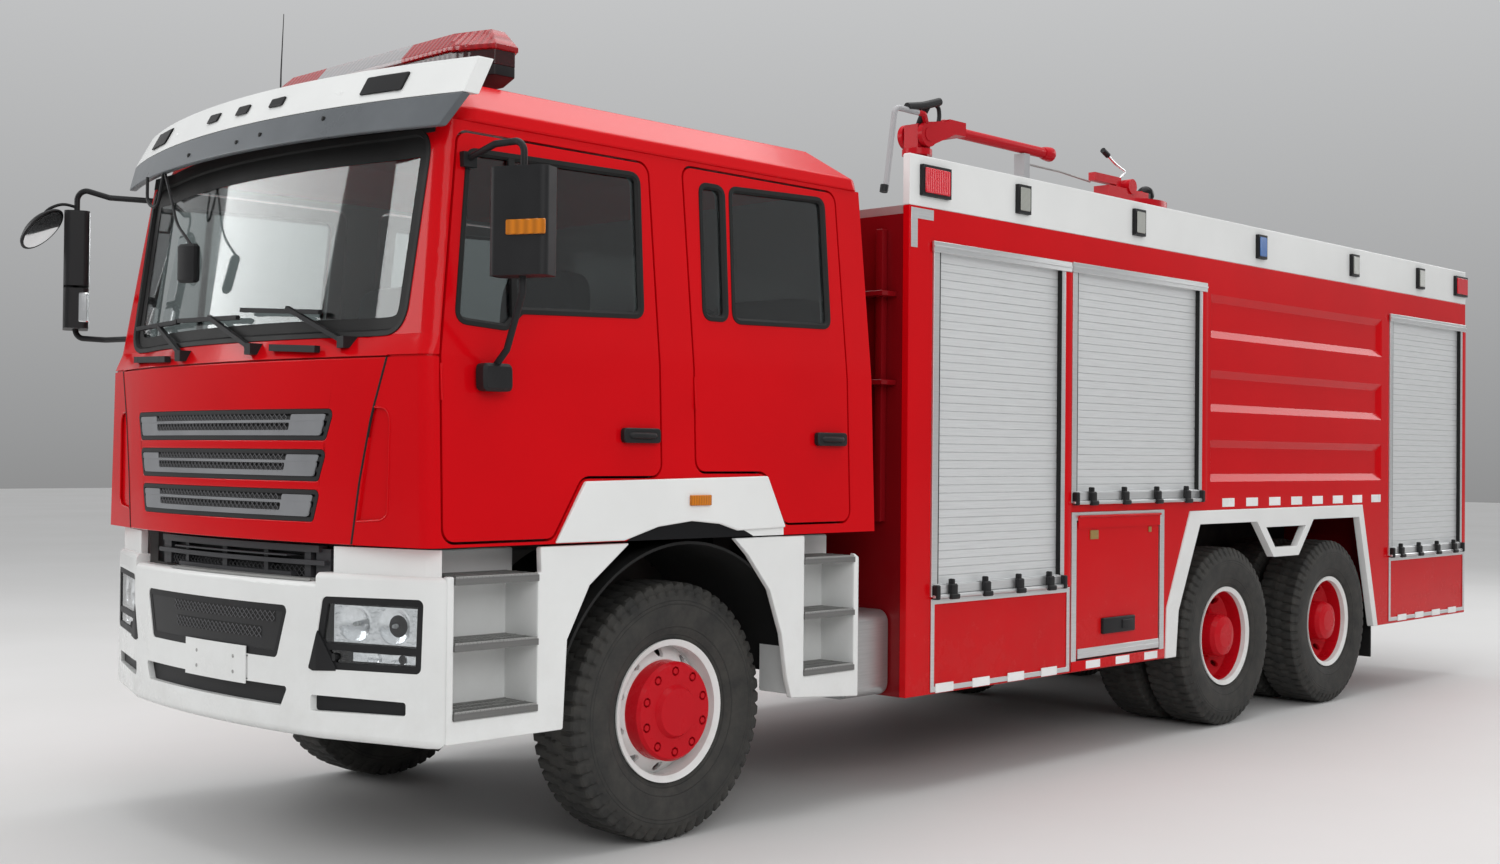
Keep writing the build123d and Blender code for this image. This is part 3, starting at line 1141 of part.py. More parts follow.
LEFT_MIRROR = (1075, 1462)
RIGHT_MIRROR = (1385, -1462)
with BuildPart() as mirror_left:
    x, y = LEFT_MIRROR
    add(bent_tube(((1096, side_y(2700) - 10, 2700), (1096, 1320, 2740), (x, y, 2740), (x, y, 2190), (1040, 1330, 1990),
                   (1040, side_y(1890) - 10, 1890)), TUBE_R))
    with BuildSketch(Plane.XY.offset(2248)):
        with Locations(Location((x, y, 0), 24)):
            RectangleRounded(110, 232, 30)
    extrude(amount=392)
    add(block((1000, 1080), (side_y(1890) - 2, side_y(1890) + 60), (1850, 1930)))
    add(block((1066, 1126), (side_y(2700) - 2, side_y(2700) + 26), (2672, 2728)))
with BuildPart() as mirror_right:
    x, y = RIGHT_MIRROR
    add(bent_tube(((1176, -1080, 2750), (1290, -1330, 2778), (x, y, 2826), (x, y, 2126), (1300, -1330, 2116),
                   (1262, -1150, 2116)), TUBE_R))
    for low, high in ((2362, 2708), (2166, 2350)):
        with BuildSketch(Plane.XY.offset(low)):
            with Locations(Location((x, y, 0), -24)):
                RectangleRounded(110, 232, 30)
        extrude(amount=high - low)
save(mirror_left.part - front_door_form, "mirror_left")
save(mirror_right.part - cab_outer, "mirror_right")

# Roof fittings: the monitor's riser with its flange, the barrel's rest, and the tank's hatch
HATCH_X = -5340
with BuildPart() as roof_fittings:
    with BuildSketch(Plane.XY.offset(BODY_TOP)):
        with Locations((MONITOR_X, 0)):
            Circle(150)
    extrude(amount=20)
    with BuildSketch(Plane.XY.offset(BODY_TOP)):
        with Locations((MONITOR_X, 0)):
            Circle(RISER_R)
    extrude(amount=RISER_TOP - BODY_TOP)
    add(block((REST_X - 30, REST_X + 30), (-40, 40), (BODY_TOP, BARREL_Z - BARREL_R - 6)))
    with BuildSketch(Plane.XY.offset(BODY_TOP)):
        with Locations((HATCH_X, 0)):
            Circle(300)
    extrude(amount=560)
    add(block((HATCH_X - 270, HATCH_X + 270), (-60, 60), (3360, 3470)))
    add(block((HATCH_X + 60, HATCH_X + 390), (-26, 26), (3490, 3545)))
    add(block((HATCH_X + 60, HATCH_X + 120), (-26, 26), (3460, 3500)))
    with BuildSketch(Plane.XZ.offset(-70)):
        with Locations((HATCH_X - 20, 3490)):
            Circle(52)
    extrude(amount=140)
    with Locations((HATCH_X - 300, 0, 3470)):
        Sphere(62)
save(roof_fittings.part, "roof_fittings")

# Monitor: a swivel body that pans on the riser, and a barrel with its tiller that tilts on the swivel
PIVOT_R = 40
CHEEK_R = 74
with BuildPart() as monitor_swivel:
    with BuildSketch(Plane.XY.offset(RISER_TOP + FIT)):
        with Locations((MONITOR_X, 0)):
            Circle(90)
    extrude(amount=36)
    add(block((MONITOR_X - 60, MONITOR_X + 60), (-52, 52), (RISER_TOP + 30, PIVOT_Z + 60)))
    with BuildSketch(Plane.XZ.offset(96)):
        with Locations((MONITOR_X, PIVOT_Z)):
            Circle(PIVOT_R)
    extrude(amount=-192)
save(monitor_swivel.part, "monitor_swivel")

with BuildPart() as monitor_barrel:
    for y in (60, -92):
        with BuildSketch(Plane.XZ.offset(-y - 32)):
            with BuildLine():
                Polyline((MONITOR_X, PIVOT_Z - CHEEK_R), (MONITOR_X, PIVOT_Z + CHEEK_R),
                         (MONITOR_X - 260, BARREL_Z + 40), (MONITOR_X - 260, BARREL_Z - 40), close=True)
            make_face()
            with Locations((MONITOR_X, PIVOT_Z)):
                Circle(CHEEK_R)
        extrude(amount=32)
        with BuildSketch(Plane.XZ.offset(-y - 40)):
            with Locations((MONITOR_X, PIVOT_Z)):
                Circle(PIVOT_R + FIT)
        extrude(amount=60, mode=Mode.SUBTRACT)
    add(block((MONITOR_X - 360, MONITOR_X - 200), (-92, 92), (BARREL_Z - 42, BARREL_Z + 42)))
    with BuildSketch(Plane.YZ.offset(BARREL_END)):
        with Locations((0, BARREL_Z)):
            Circle(BARREL_R)
    extrude(amount=MONITOR_X - 300 - BARREL_END)
    with BuildSketch(Plane.YZ.offset(BARREL_END)):
        with Locations((0, BARREL_Z)):
            Circle(24)
    extrude(amount=600, mode=Mode.SUBTRACT)
    add(bent_tube(((MONITOR_X + 20, 80, PIVOT_Z + 70), (MONITOR_X + 90, TILLER_Y, 3622), (-2690, TILLER_Y, 3622),
                   (-2610, TILLER_Y, 3133)), TILLER_R))
save(monitor_barrel.part, "monitor_barrel")
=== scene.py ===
# %% [markdown]
# # A six-wheel fire truck, dressed in Blender
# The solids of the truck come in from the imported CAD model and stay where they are.
# This lesson gives each of them a finish, and adds the thin pieces that a solid model
# leaves out: tyre treads, rubber seals, lamps, wipers, grilles, seats and bolts.
# Every length below is in millimetres, counted along the truck from the front axle,
# because that is how a coach builder measures. One function turns it into metres.

import bmesh
import bpy
import numpy as np
from mathutils import Matrix


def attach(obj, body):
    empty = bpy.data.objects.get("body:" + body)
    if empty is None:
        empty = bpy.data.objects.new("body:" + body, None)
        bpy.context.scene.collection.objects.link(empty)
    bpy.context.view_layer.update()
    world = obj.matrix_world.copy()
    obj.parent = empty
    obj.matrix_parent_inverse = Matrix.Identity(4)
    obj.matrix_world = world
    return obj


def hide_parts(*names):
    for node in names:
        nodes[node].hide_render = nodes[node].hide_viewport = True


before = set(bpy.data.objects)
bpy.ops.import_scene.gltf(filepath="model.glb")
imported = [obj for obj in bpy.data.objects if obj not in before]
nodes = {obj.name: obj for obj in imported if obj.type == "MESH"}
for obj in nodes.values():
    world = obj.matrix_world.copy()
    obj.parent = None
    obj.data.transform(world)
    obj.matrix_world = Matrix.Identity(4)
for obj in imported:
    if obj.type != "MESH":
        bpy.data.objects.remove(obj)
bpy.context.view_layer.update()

AXLE_STATION = 3380.0


def metres(points):
    """Stations in millimetres from the front axle become metres in the truck's frame."""
    moved = np.asarray(points, float) + np.array([AXLE_STATION, 0.0, 0.0])
    return moved / 1000.0


# %% [markdown]
# ## Camera
# The photograph was taken from the front left at eye height. Its camera was found by
# fitting known lengths, so three angles and one lens length place it.

# %% Camera
CAMERA_AT = (4916.7, 6291.0, 1615.6)
YAW, PITCH, ROLL = np.radians([-136.175, 0.748, 0.564])
SENSOR = 36.0
LENS = 1700.7 / 1500.0 * SENSOR

ahead = np.array([np.cos(YAW) * np.cos(PITCH), np.sin(YAW) * np.cos(PITCH), np.sin(PITCH)])
level = np.cross(ahead, [0.0, 0.0, 1.0])
level /= np.linalg.norm(level)
above = np.cross(level, ahead)
right = np.cos(ROLL) * level + np.sin(ROLL) * above
above = np.cos(ROLL) * above - np.sin(ROLL) * level

camera_data = bpy.data.cameras.new("camera")
camera_data.sensor_width = SENSOR
camera_data.lens = LENS
camera_data.clip_end = 300.0
camera = bpy.data.objects.new("camera", camera_data)
pose = np.eye(4)
pose[:3, 0], pose[:3, 1], pose[:3, 2], pose[:3, 3] = right, above, -ahead, metres(CAMERA_AT)
camera.matrix_world = Matrix(pose.tolist())
bpy.context.scene.collection.objects.link(camera)
bpy.context.scene.camera = camera
print("camera at", np.round(pose[:3, 3], 3), "lens", round(LENS, 2))

# %% [markdown]
# ## Shapes from arrays
# A surface is a grid of points, one row per step of the first parameter and one column
# per step of the second. Four neighbours make a face. A grid that closes on itself, or
# whose ends shrink to a point, is a closed skin. Everything new is made this way, because
# a formula keeps its measures in sight, which a shape pulled by hand does not.

# %% Grids, copies and turned shapes


def skin(grid, round_u=False, round_v=False):
    """Points and faces of a grid: each cell of four neighbours is a face, wrapped where asked."""
    rows, columns = grid.shape[:2]
    index = np.arange(rows * columns).reshape(rows, columns)
    if round_u:
        index = np.vstack([index, index[:1]])
    if round_v:
        index = np.hstack([index, index[:, :1]])
    quads = np.stack([index[:-1, :-1], index[1:, :-1], index[1:, 1:], index[:-1, 1:]], -1)
    return grid.reshape(-1, 3), quads.reshape(-1, 4)


def together(shapes):
    """Several shapes as one: later faces count on from the points before them."""
    starts = np.cumsum([0] + [len(points) for points, _ in shapes])
    return (np.concatenate([points for points, _ in shapes]),
            np.concatenate([quads + start for (_, quads), start in zip(shapes, starts)]))


def copies(shape, places):
    """One shape repeated: its points are added to each place in turn."""
    points, quads = shape
    places = np.atleast_2d(np.asarray(places, float))
    spread = (points[None] + places[:, None]).reshape(-1, 3)
    steps = np.arange(len(places)) * len(points)
    return spread, (quads[None] + steps[:, None, None]).reshape(-1, 4)


def flipped(shape):
    """The mirror image of a left piece for the right side, with its faces turned back."""
    points, quads = shape
    return points * np.array([1.0, -1.0, 1.0]), quads[:, ::-1]


def both(shape):
    """A left piece and its mirror image."""
    return together([shape, flipped(shape)])


def turned(shape, axis, angle, about=(0.0, 0.0, 0.0)):
    """A shape turned by an angle in degrees about an axis, 0, 1 or 2, through a point."""
    points, quads = shape
    a, b = [(1, 2), (2, 0), (0, 1)][axis]
    c, s = np.cos(np.radians(angle)), np.sin(np.radians(angle))
    local = points - np.asarray(about, float)
    out = local.copy()
    out[:, a] = c * local[:, a] - s * local[:, b]
    out[:, b] = s * local[:, a] + c * local[:, b]
    return out + np.asarray(about, float), quads


def lathe(profile, centre, axis=1, steps=48):
    """A profile of radius and height turned about an axis: radius times cosine and sine."""
    profile = np.asarray(profile, float)
    angle = np.linspace(0, 2 * np.pi, steps, endpoint=False)
    radius, height = profile[:, 0][None], profile[:, 1][None]
    around = [radius * np.cos(angle)[:, None], radius * np.sin(angle)[:, None]]
    grid = np.zeros((steps, len(profile), 3))
    first, second = [(1, 2), (2, 0), (0, 1)][axis]
    grid[..., first], grid[..., second] = around
    grid[..., axis] = height + 0 * angle[:, None]
    return skin(grid + np.asarray(centre, float), round_u=True)


# %% [markdown]
# ## Plates, bars and tubes
# Panels and fittings are mostly plates with a rounded outline, bars, and bent tube. A plate
# is its outline at several heights, drawn in a little at the edges, because a sharp edge
# never catches the light. A tube is a circle carried along a path.

# %% Outlines, plates, bars and tubes


def rounded_loop(points, radius, steps=6):
    """A closed outline whose corners are arcs: each arc starts and ends its radius times
    the corner's half-angle tangent away from the corner, and swings between the two."""
    points = np.asarray(points, float)
    radii = np.broadcast_to(radius, len(points))
    loop = []
    for corner, before, after, r in zip(points, np.roll(points, 1, 0), np.roll(points, -1, 0), radii):
        a, b = before - corner, after - corner
        la, lb = np.linalg.norm(a), np.linalg.norm(b)
        a, b = a / la, b / lb
        half = np.arccos(np.clip(a @ b, -1, 1)) / 2
        cut = min(r / np.tan(half), 0.48 * la, 0.48 * lb)
        t = np.linspace(0, 1, steps)[:, None]
        near = corner + cut * ((1 - t) ** 2 * a + t ** 2 * b)
        loop.append(near)
    return np.concatenate(loop)


def shrunk(loop, depth):
    """A closed outline moved inward by a depth along the mean normal of its two edges."""
    edges = np.roll(loop, -1, 0) - loop
    edges = edges / np.maximum(np.linalg.norm(edges, axis=1, keepdims=True), 1e-9)
    mean = edges + np.roll(edges, 1, 0)
    mean = mean / np.maximum(np.linalg.norm(mean, axis=1, keepdims=True), 1e-9)
    normal = np.stack([-mean[:, 1], mean[:, 0]], 1)
    area = np.sum(loop[:, 0] * np.roll(loop[:, 1], -1) - loop[:, 1] * np.roll(loop[:, 0], -1))
    return loop + np.sign(area) * depth * normal


def rim_band(loop, rows, lift):
    """A band along an outline: each row is a depth inward and a height, lifted into space."""
    grid = np.stack([lift(shrunk(loop, depth), height) for depth, height in rows], 1)
    return skin(grid, round_u=True, round_v=True)


def plate(loop, lift, low, high, edge=2.0):
    """A closed plate with eased edges: rings of the outline at two heights, closed by poles."""
    centre = loop.mean(0, keepdims=True) + 0 * loop
    rings = [lift(centre, low), lift(shrunk(loop, edge), low), lift(loop, low + edge), lift(loop, high - edge),
             lift(shrunk(loop, edge), high), lift(centre, high)]
    return skin(np.stack(rings, 1), round_u=True)


def bar(low, high, ease=4.0, steps=3):
    """A box between two corners with eased edges: a rounded outline raised through four rings."""
    low, high = np.minimum(low, high).astype(float), np.maximum(low, high).astype(float)
    ease = min(ease, 0.45 * (high - low).min())
    corners = [(low[0], low[1]), (high[0], low[1]), (high[0], high[1]), (low[0], high[1])]
    loop = rounded_loop(corners, ease, steps)
    return plate(loop, lambda flat, z: np.column_stack([flat, np.full(len(flat), z)]), low[2], high[2], 0.6 * ease)


def slab(lift, across, up, low, high, steps=24):
    """A bar that follows a skin: its four corners at each step across, closed at both ends."""
    way = np.linspace(*across, steps)
    bottom, top = (np.broadcast_to(edge, steps) for edge in up)
    corners = [(bottom, low), (top, low), (top, high), (bottom, high)]
    grid = np.stack([lift(np.column_stack([way, z]), out) for z, out in corners], 1)
    middle = grid.mean(1, keepdims=True) + 0 * grid
    return skin(np.concatenate([middle[:1], grid, middle[-1:]]), round_v=True)


def tube(path, radius, sides=12):
    """A tube along points: a circle set square to the path's direction at each point. The
    circle's first axis is carried from point to point, less its part along the path."""
    path = np.asarray(path, float)
    along = np.gradient(path, axis=0)
    along /= np.linalg.norm(along, axis=1, keepdims=True)
    first = np.zeros_like(path)
    guess = np.eye(3)[np.argmin(np.abs(along[0]))]
    for k, direction in enumerate(along):
        guess = guess - direction * (guess @ direction)
        guess = guess / np.linalg.norm(guess)
        first[k] = guess
    second = np.cross(along, first)
    angle = np.linspace(0, 2 * np.pi, sides, endpoint=False)[None, :, None]
    size = np.broadcast_to(radius, len(path))[:, None, None]
    grid = path[:, None] + size * (np.cos(angle) * first[:, None] + np.sin(angle) * second[:, None])
    ends = [np.repeat(path[k][None, None], sides, 1) for k in (0, -1)]
    return skin(np.concatenate([ends[0], grid, ends[1]]), round_v=True)


def bent(points, radius, steps=7):
    """An open run of points whose inner corners are swung by quadratic curves."""
    points = np.asarray(points, float)
    run = [points[:1]]
    for before, corner, after in zip(points, points[1:], points[2:]):
        a, b = before - corner, after - corner
        la, lb = np.linalg.norm(a), np.linalg.norm(b)
        cut = min(radius, 0.48 * la, 0.48 * lb)
        t = np.linspace(0, 1, steps)[:, None]
        run.append(corner + cut * ((1 - t) ** 2 * a / la + t ** 2 * b / lb))
    return np.concatenate(run + [points[-1:]])


# %% [markdown]
# ## Putting a piece into the scene
# A shape is only arrays until it becomes a mesh. This step welds the places where a grid
# meets itself, so that no seam shows, and tells which body of the truck carries the piece,
# so that a door's seal swings with the door.

# %% From arrays to a piece


def show(name, shape, finish, body="chassis", stands_for=(), sharp=38):
    """Puts a shape into the scene: welds its seams and poles, turns its faces outward,
    smooths all but its sharp edges, and lets it ride on a body of the truck."""
    points, quads = shape
    mesh = bpy.data.meshes.new(name)
    mesh.vertices.add(len(points))
    mesh.vertices.foreach_set("co", metres(points).astype(np.float32).ravel())
    mesh.loops.add(quads.size)
    mesh.loops.foreach_set("vertex_index", quads.astype(np.int32).ravel())
    mesh.polygons.add(len(quads))
    mesh.polygons.foreach_set("loop_start", np.arange(len(quads), dtype=np.int32) * 4)
    mesh.update(calc_edges=True)
    welded = bmesh.new()
    welded.from_mesh(mesh)
    bmesh.ops.remove_doubles(welded, verts=welded.verts, dist=2e-5)
    bmesh.ops.dissolve_degenerate(welded, edges=welded.edges, dist=1e-6)
    bmesh.ops.recalc_face_normals(welded, faces=welded.faces)
    welded.to_mesh(mesh)
    welded.free()
    mesh.shade_smooth()
    mesh.set_sharp_from_angle(angle=np.radians(sharp))
    mesh.materials.append(finish)
    piece = bpy.data.objects.new(name, mesh)
    bpy.context.scene.collection.objects.link(piece)
    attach(piece, body)
    if stands_for:
        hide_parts(*stands_for)
    return piece


# %% [markdown]
# ## Finishes
# Each finish is a small node tree. Colour drifts a little over a panel, dust gathers low
# down, gloss paint has a faint orange peel, and moulded plastic has a fine grain. All of
# them read Object coordinates, so a pattern keeps its real size.

# %% Node helpers


def new_finish(name):
    """An empty finish: its tree, its shader and its Object coordinates."""
    material = bpy.data.materials.new(name)
    material.use_nodes = True
    tree = material.node_tree
    shader = tree.nodes["Principled BSDF"]
    where = tree.nodes.new("ShaderNodeTexCoord").outputs["Object"]
    return material, tree, shader, where


def noise(tree, where, scale, detail=3.0, rough=0.55):
    """A noise of a given scale, in cells per metre."""
    node = tree.nodes.new("ShaderNodeTexNoise")
    node.inputs["Scale"].default_value = scale
    node.inputs["Detail"].default_value = detail
    node.inputs["Roughness"].default_value = rough
    tree.links.new(where, node.inputs["Vector"])
    return node.outputs["Fac"]


def spread(tree, value, low, high, out_low=0.0, out_high=1.0):
    """A value stretched from one span to another, and kept inside it."""
    node = tree.nodes.new("ShaderNodeMapRange")
    for name, number in zip(("From Min", "From Max", "To Min", "To Max"), (low, high, out_low, out_high)):
        node.inputs[name].default_value = number
    tree.links.new(value, node.inputs["Value"])
    return node.outputs["Result"]


def combine(tree, kind, a, b):
    """Two values, or a value and a number, joined by a sum, product or other rule."""
    node = tree.nodes.new("ShaderNodeMath")
    node.operation = kind
    for socket, value in zip(node.inputs, (a, b)):
        if isinstance(value, (int, float)):
            socket.default_value = value
        else:
            tree.links.new(value, socket)
    return node.outputs[0]


def blended(tree, factor, a, b):
    """Two colours mixed by a factor; a colour may be a triple or another node's output."""
    node = tree.nodes.new("ShaderNodeMix")
    node.data_type = "RGBA"
    tree.links.new(factor, node.inputs["Factor"])
    for socket, value in ((node.inputs[6], a), (node.inputs[7], b)):
        if isinstance(value, tuple):
            socket.default_value = (*value, 1.0)
        else:
            tree.links.new(value, socket)
    return node.outputs[2]


def bump(tree, shader, height, depth, strength=1.0):
    """A bump of a height, whose full span stands for a depth in metres."""
    node = tree.nodes.new("ShaderNodeBump")
    node.inputs["Strength"].default_value = strength
    node.inputs["Distance"].default_value = depth
    tree.links.new(height, node.inputs["Height"])
    tree.links.new(node.outputs["Normal"], shader.inputs["Normal"])


def axis_of(tree, where, letter):
    """One coordinate of a place."""
    node = tree.nodes.new("ShaderNodeSeparateXYZ")
    tree.links.new(where, node.inputs[0])
    return node.outputs[letter]


# %% [markdown]
# ## Kinds of finish
# The truck has five kinds: sprayed paint, moulded plastic and rubber, bare metal, window
# glass and ribbed lamp lenses. Each kind is one function, so a new colour is one line.

# %% Paint, plastic, metal, glass and lenses
DUST = (0.30, 0.26, 0.21)


def paint(name, colour, gloss=0.16, dust=0.06, coat=0.08):
    """Sprayed paint: a slow drift of tone, a faint peel, and dust that thins out with height."""
    material, tree, shader, where = new_finish(name)
    drift = spread(tree, noise(tree, where, 1.7), 0.3, 0.7)
    dark = tuple(0.93 * c for c in colour)
    tone = blended(tree, drift, dark, colour)
    low = spread(tree, axis_of(tree, where, "Z"), 0.35, 1.25, 1.0, 0.0)
    grime = combine(tree, "MULTIPLY", low, spread(tree, noise(tree, where, 6.0, 6.0, 0.7), 0.42, 0.72))
    tone = blended(tree, combine(tree, "MULTIPLY", grime, dust), tone, DUST)
    tree.links.new(tone, shader.inputs["Base Color"])
    tree.links.new(spread(tree, grime, 0.0, 1.0, gloss, gloss + 0.35), shader.inputs["Roughness"])
    shader.inputs["Coat Weight"].default_value = coat
    shader.inputs["Coat Roughness"].default_value = 0.04
    shader.inputs["Specular IOR Level"].default_value = 0.09
    bump(tree, shader, noise(tree, where, 260.0, 2.0), 0.00012, 0.35)
    return material


def moulded(name, colour, rough=0.48, grain=900.0, depth=0.00025):
    """Moulded plastic or rubber: a fine grain, and a slightly bleached drift of tone."""
    material, tree, shader, where = new_finish(name)
    drift = spread(tree, noise(tree, where, 3.5, 5.0), 0.3, 0.75)
    pale = tuple(min(1.0, 1.25 * c + 0.006) for c in colour)
    tree.links.new(blended(tree, drift, colour, pale), shader.inputs["Base Color"])
    tree.links.new(spread(tree, drift, 0.0, 1.0, rough - 0.06, rough + 0.08), shader.inputs["Roughness"])
    shader.inputs["Specular IOR Level"].default_value = 0.22
    bump(tree, shader, noise(tree, where, grain, 2.0), depth, 0.5)
    return material


def metal(name, colour, rough=0.3, share=1.0, stretch=(3.0, 3.0, 90.0), depth=0.00008):
    """Bare metal: fine streaks along one direction change its tone and gloss a little."""
    material, tree, shader, where = new_finish(name)
    mapping = tree.nodes.new("ShaderNodeMapping")
    mapping.inputs["Scale"].default_value = stretch
    tree.links.new(where, mapping.inputs["Vector"])
    streak = noise(tree, mapping.outputs["Vector"], 2.5, 4.0)
    shade = spread(tree, streak, 0.25, 0.75)
    dark = tuple(0.86 * c for c in colour)
    tree.links.new(blended(tree, shade, dark, colour), shader.inputs["Base Color"])
    tree.links.new(spread(tree, streak, 0.25, 0.75, rough + 0.07, rough - 0.03), shader.inputs["Roughness"])
    shader.inputs["Metallic"].default_value = share
    bump(tree, shader, streak, depth, 0.4)
    return material


def pane(name, tint, rough=0.015):
    """Window glass: clear, tinted, with a thin film of dust in patches."""
    material, tree, shader, where = new_finish(name)
    film = spread(tree, noise(tree, where, 2.2, 5.0), 0.35, 0.8, rough, rough + 0.05)
    tree.links.new(film, shader.inputs["Roughness"])
    shader.inputs["Base Color"].default_value = (*tint, 1.0)
    shader.inputs["Transmission Weight"].default_value = 1.0
    shader.inputs["IOR"].default_value = 1.45
    return material


def lens(name, colour, ribs=140.0, clear=0.25, letter="X"):
    """A lamp lens: coloured plastic with moulded ribs across it."""
    material, tree, shader, where = new_finish(name)
    wave = tree.nodes.new("ShaderNodeTexWave")
    wave.bands_direction = letter
    wave.inputs["Scale"].default_value = ribs / 6.28
    tree.links.new(where, wave.inputs["Vector"])
    dark = tuple(0.7 * c for c in colour)
    tree.links.new(blended(tree, wave.outputs["Fac"], dark, colour), shader.inputs["Base Color"])
    shader.inputs["Roughness"].default_value = 0.12
    shader.inputs["Coat Weight"].default_value = 0.1
    shader.inputs["Specular IOR Level"].default_value = 0.3
    shader.inputs["Transmission Weight"].default_value = clear
    bump(tree, shader, wave.outputs["Fac"], 0.0012, 0.8)
    return material


# %% [markdown]
# ## Finishes of this truck
# Fire red and white enamel cover most of it. The rest is aluminium, black plastic and
# rubber, a few steels, and glass. The colours were set under this scene's own light.

# %% Colours and finishes
RED = (0.64, 0.0020, 0.006)
WHITE = (0.84, 0.85, 0.84)
red = paint("fire_red", RED)
white = paint("white_enamel", WHITE, gloss=0.2, dust=0.16)
dark_red = paint("inner_red", (0.20, 0.003, 0.006), gloss=0.32, coat=0.3)
MONITOR_RED = (0.52, 0.008, 0.016)
monitor_red = paint("monitor_red", MONITOR_RED, gloss=0.25)
chassis_black = paint("chassis_black", (0.020, 0.020, 0.021), gloss=0.45, dust=0.55, coat=0.0)
visor_grey = moulded("visor_grey", (0.115, 0.125, 0.135), 0.32)
black = moulded("black_plastic", (0.011, 0.011, 0.012))
rubber = moulded("seal_rubber", (0.009, 0.009, 0.009), 0.58, 600.0)
grille_grey = moulded("grille_grey", (0.040, 0.040, 0.044), 0.38)
panel_grey = moulded("panel_grey", (0.020, 0.020, 0.021), 0.42)
wire_grey = moulded("wire_grey", (0.10, 0.10, 0.105), 0.4)
insert_grey = moulded("insert_grey", (0.20, 0.205, 0.215), 0.42)
dash_grey = moulded("dash_grey", (0.09, 0.092, 0.095), 0.6)
silver = metal("frame_aluminium", (0.74, 0.75, 0.755), 0.34, 0.85)
slats = metal("shutter_aluminium", (0.77, 0.785, 0.79), 0.42, 0.35, (2.0, 2.0, 60.0))
deck = metal("deck_aluminium", (0.52, 0.53, 0.53), 0.42, 0.8, (60.0, 3.0, 3.0))
steel = metal("step_steel", (0.42, 0.42, 0.41), 0.42, 0.75)
dark_steel = metal("tread_steel", (0.21, 0.21, 0.205), 0.5, 0.6)
tank = metal("tank_aluminium", (0.50, 0.51, 0.51), 0.36, 0.85)
chrome = metal("chrome", (0.86, 0.87, 0.88), 0.07, 1.0, (4.0, 4.0, 4.0), 0.00001)
iron = moulded("cast_iron", (0.075, 0.072, 0.068), 0.62, 160.0, 0.0012)
tinted = pane("tinted_glass", (0.42, 0.46, 0.46))
screen = pane("screen_glass", (0.80, 0.86, 0.85))
clear = pane("lamp_glass", (0.93, 0.95, 0.96))
red_lens = lens("red_lens", (0.82, 0.012, 0.03), clear=0.05)
bar_lens = lens("bar_lens", (0.66, 0.012, 0.02), 60.0, 0.45, "Y")
blue_lens = lens("blue_lens", (0.09, 0.22, 0.55), clear=0.05)
white_lens = lens("white_lens", (0.72, 0.74, 0.74))
band_lens = lens("band_lens", (0.46, 0.47, 0.43), 330.0, 0.05, "Z")
amber_lens = lens("amber_lens", (0.85, 0.26, 0.01))
reflector_white = moulded("reflector_white", (0.80, 0.81, 0.80), 0.3, 500.0)
seat_cloth = moulded("seat_cloth", (0.028, 0.029, 0.033), 0.8, 350.0, 0.0006)
print("plain finishes:", len(bpy.data.materials))

# %% [markdown]
# ## Two colours on one piece
# A pressed wheel has a red hub in a white rim, and the cab is grey inside. Instead of
# cutting such a piece in two, a mask made of the place itself says where the second colour
# lies: a distance from the axle, a span of stations, or a height.

# %% Masks


def where_of(material):
    """The Object coordinates that a finish reads."""
    return next(node for node in material.node_tree.nodes if node.type == "TEX_COORD").outputs["Object"]


def overlaid(material, colour, mask_of):
    """A finish with another colour where a mask, a value from 0 to 1 made of the place, says so."""
    tree = material.node_tree
    socket = tree.nodes["Principled BSDF"].inputs["Base Color"]
    tone = socket.links[0].from_socket
    tree.links.new(blended(tree, mask_of(tree, where_of(material)), tone, colour), socket)
    return material


def above_value(tree, value, limit):
    """1 where a value lies above a limit, else 0, with a millimetre between."""
    return spread(tree, value, limit - 0.0005, limit + 0.0005)


def below_value(tree, value, limit):
    """1 where a value lies below a limit, else 0, with a millimetre between."""
    return spread(tree, value, limit - 0.0005, limit + 0.0005, 1.0, 0.0)


def at_station(millimetres):
    """A station from the front axle in metres of the truck's frame."""
    return (millimetres + AXLE_STATION) / 1000.0


TYRE_R = 540.0


def from_axle(tree, where, station):
    """The distance in metres from an axle in x and z; an axle lies a tyre's radius high."""
    away_x = combine(tree, "SUBTRACT", axis_of(tree, where, "X"), at_station(station))
    away_z = combine(tree, "SUBTRACT", axis_of(tree, where, "Z"), TYRE_R / 1000.0)
    squares = [combine(tree, "MULTIPLY", away, away) for away in (away_x, away_z)]
    return combine(tree, "POWER", combine(tree, "ADD", *squares), 0.5)


def near_axle(station, radius, depth=None):
    """A mask of a wheel's hub: the way from the axle in x and z is under a radius, or the
    place lies deeper than a distance from the truck's middle."""
    def mask(tree, where):
        inside = below_value(tree, from_axle(tree, where, station), radius)
        if depth is None:
            return inside
        aside = combine(tree, "ABSOLUTE", axis_of(tree, where, "Y"), 0.0)
        return combine(tree, "MAXIMUM", inside, below_value(tree, aside, depth))
    return mask


# The height in metres where a wall starts to lean, and how far it leans in per metre
SIDE_LEAN, FRONT_LEAN = (1.965, 0.1017), (2.045, 0.1366)
INNER_HALF, INNER_FRONT, INNER_BACK = 1.201, 1272, -1150


def lean(tree, height, start, slope):
    """How far a wall has leaned in at a height: its slope times the height above its start."""
    risen = combine(tree, "MAXIMUM", combine(tree, "SUBTRACT", height, start), 0.0)
    return combine(tree, "MULTIPLY", risen, slope)


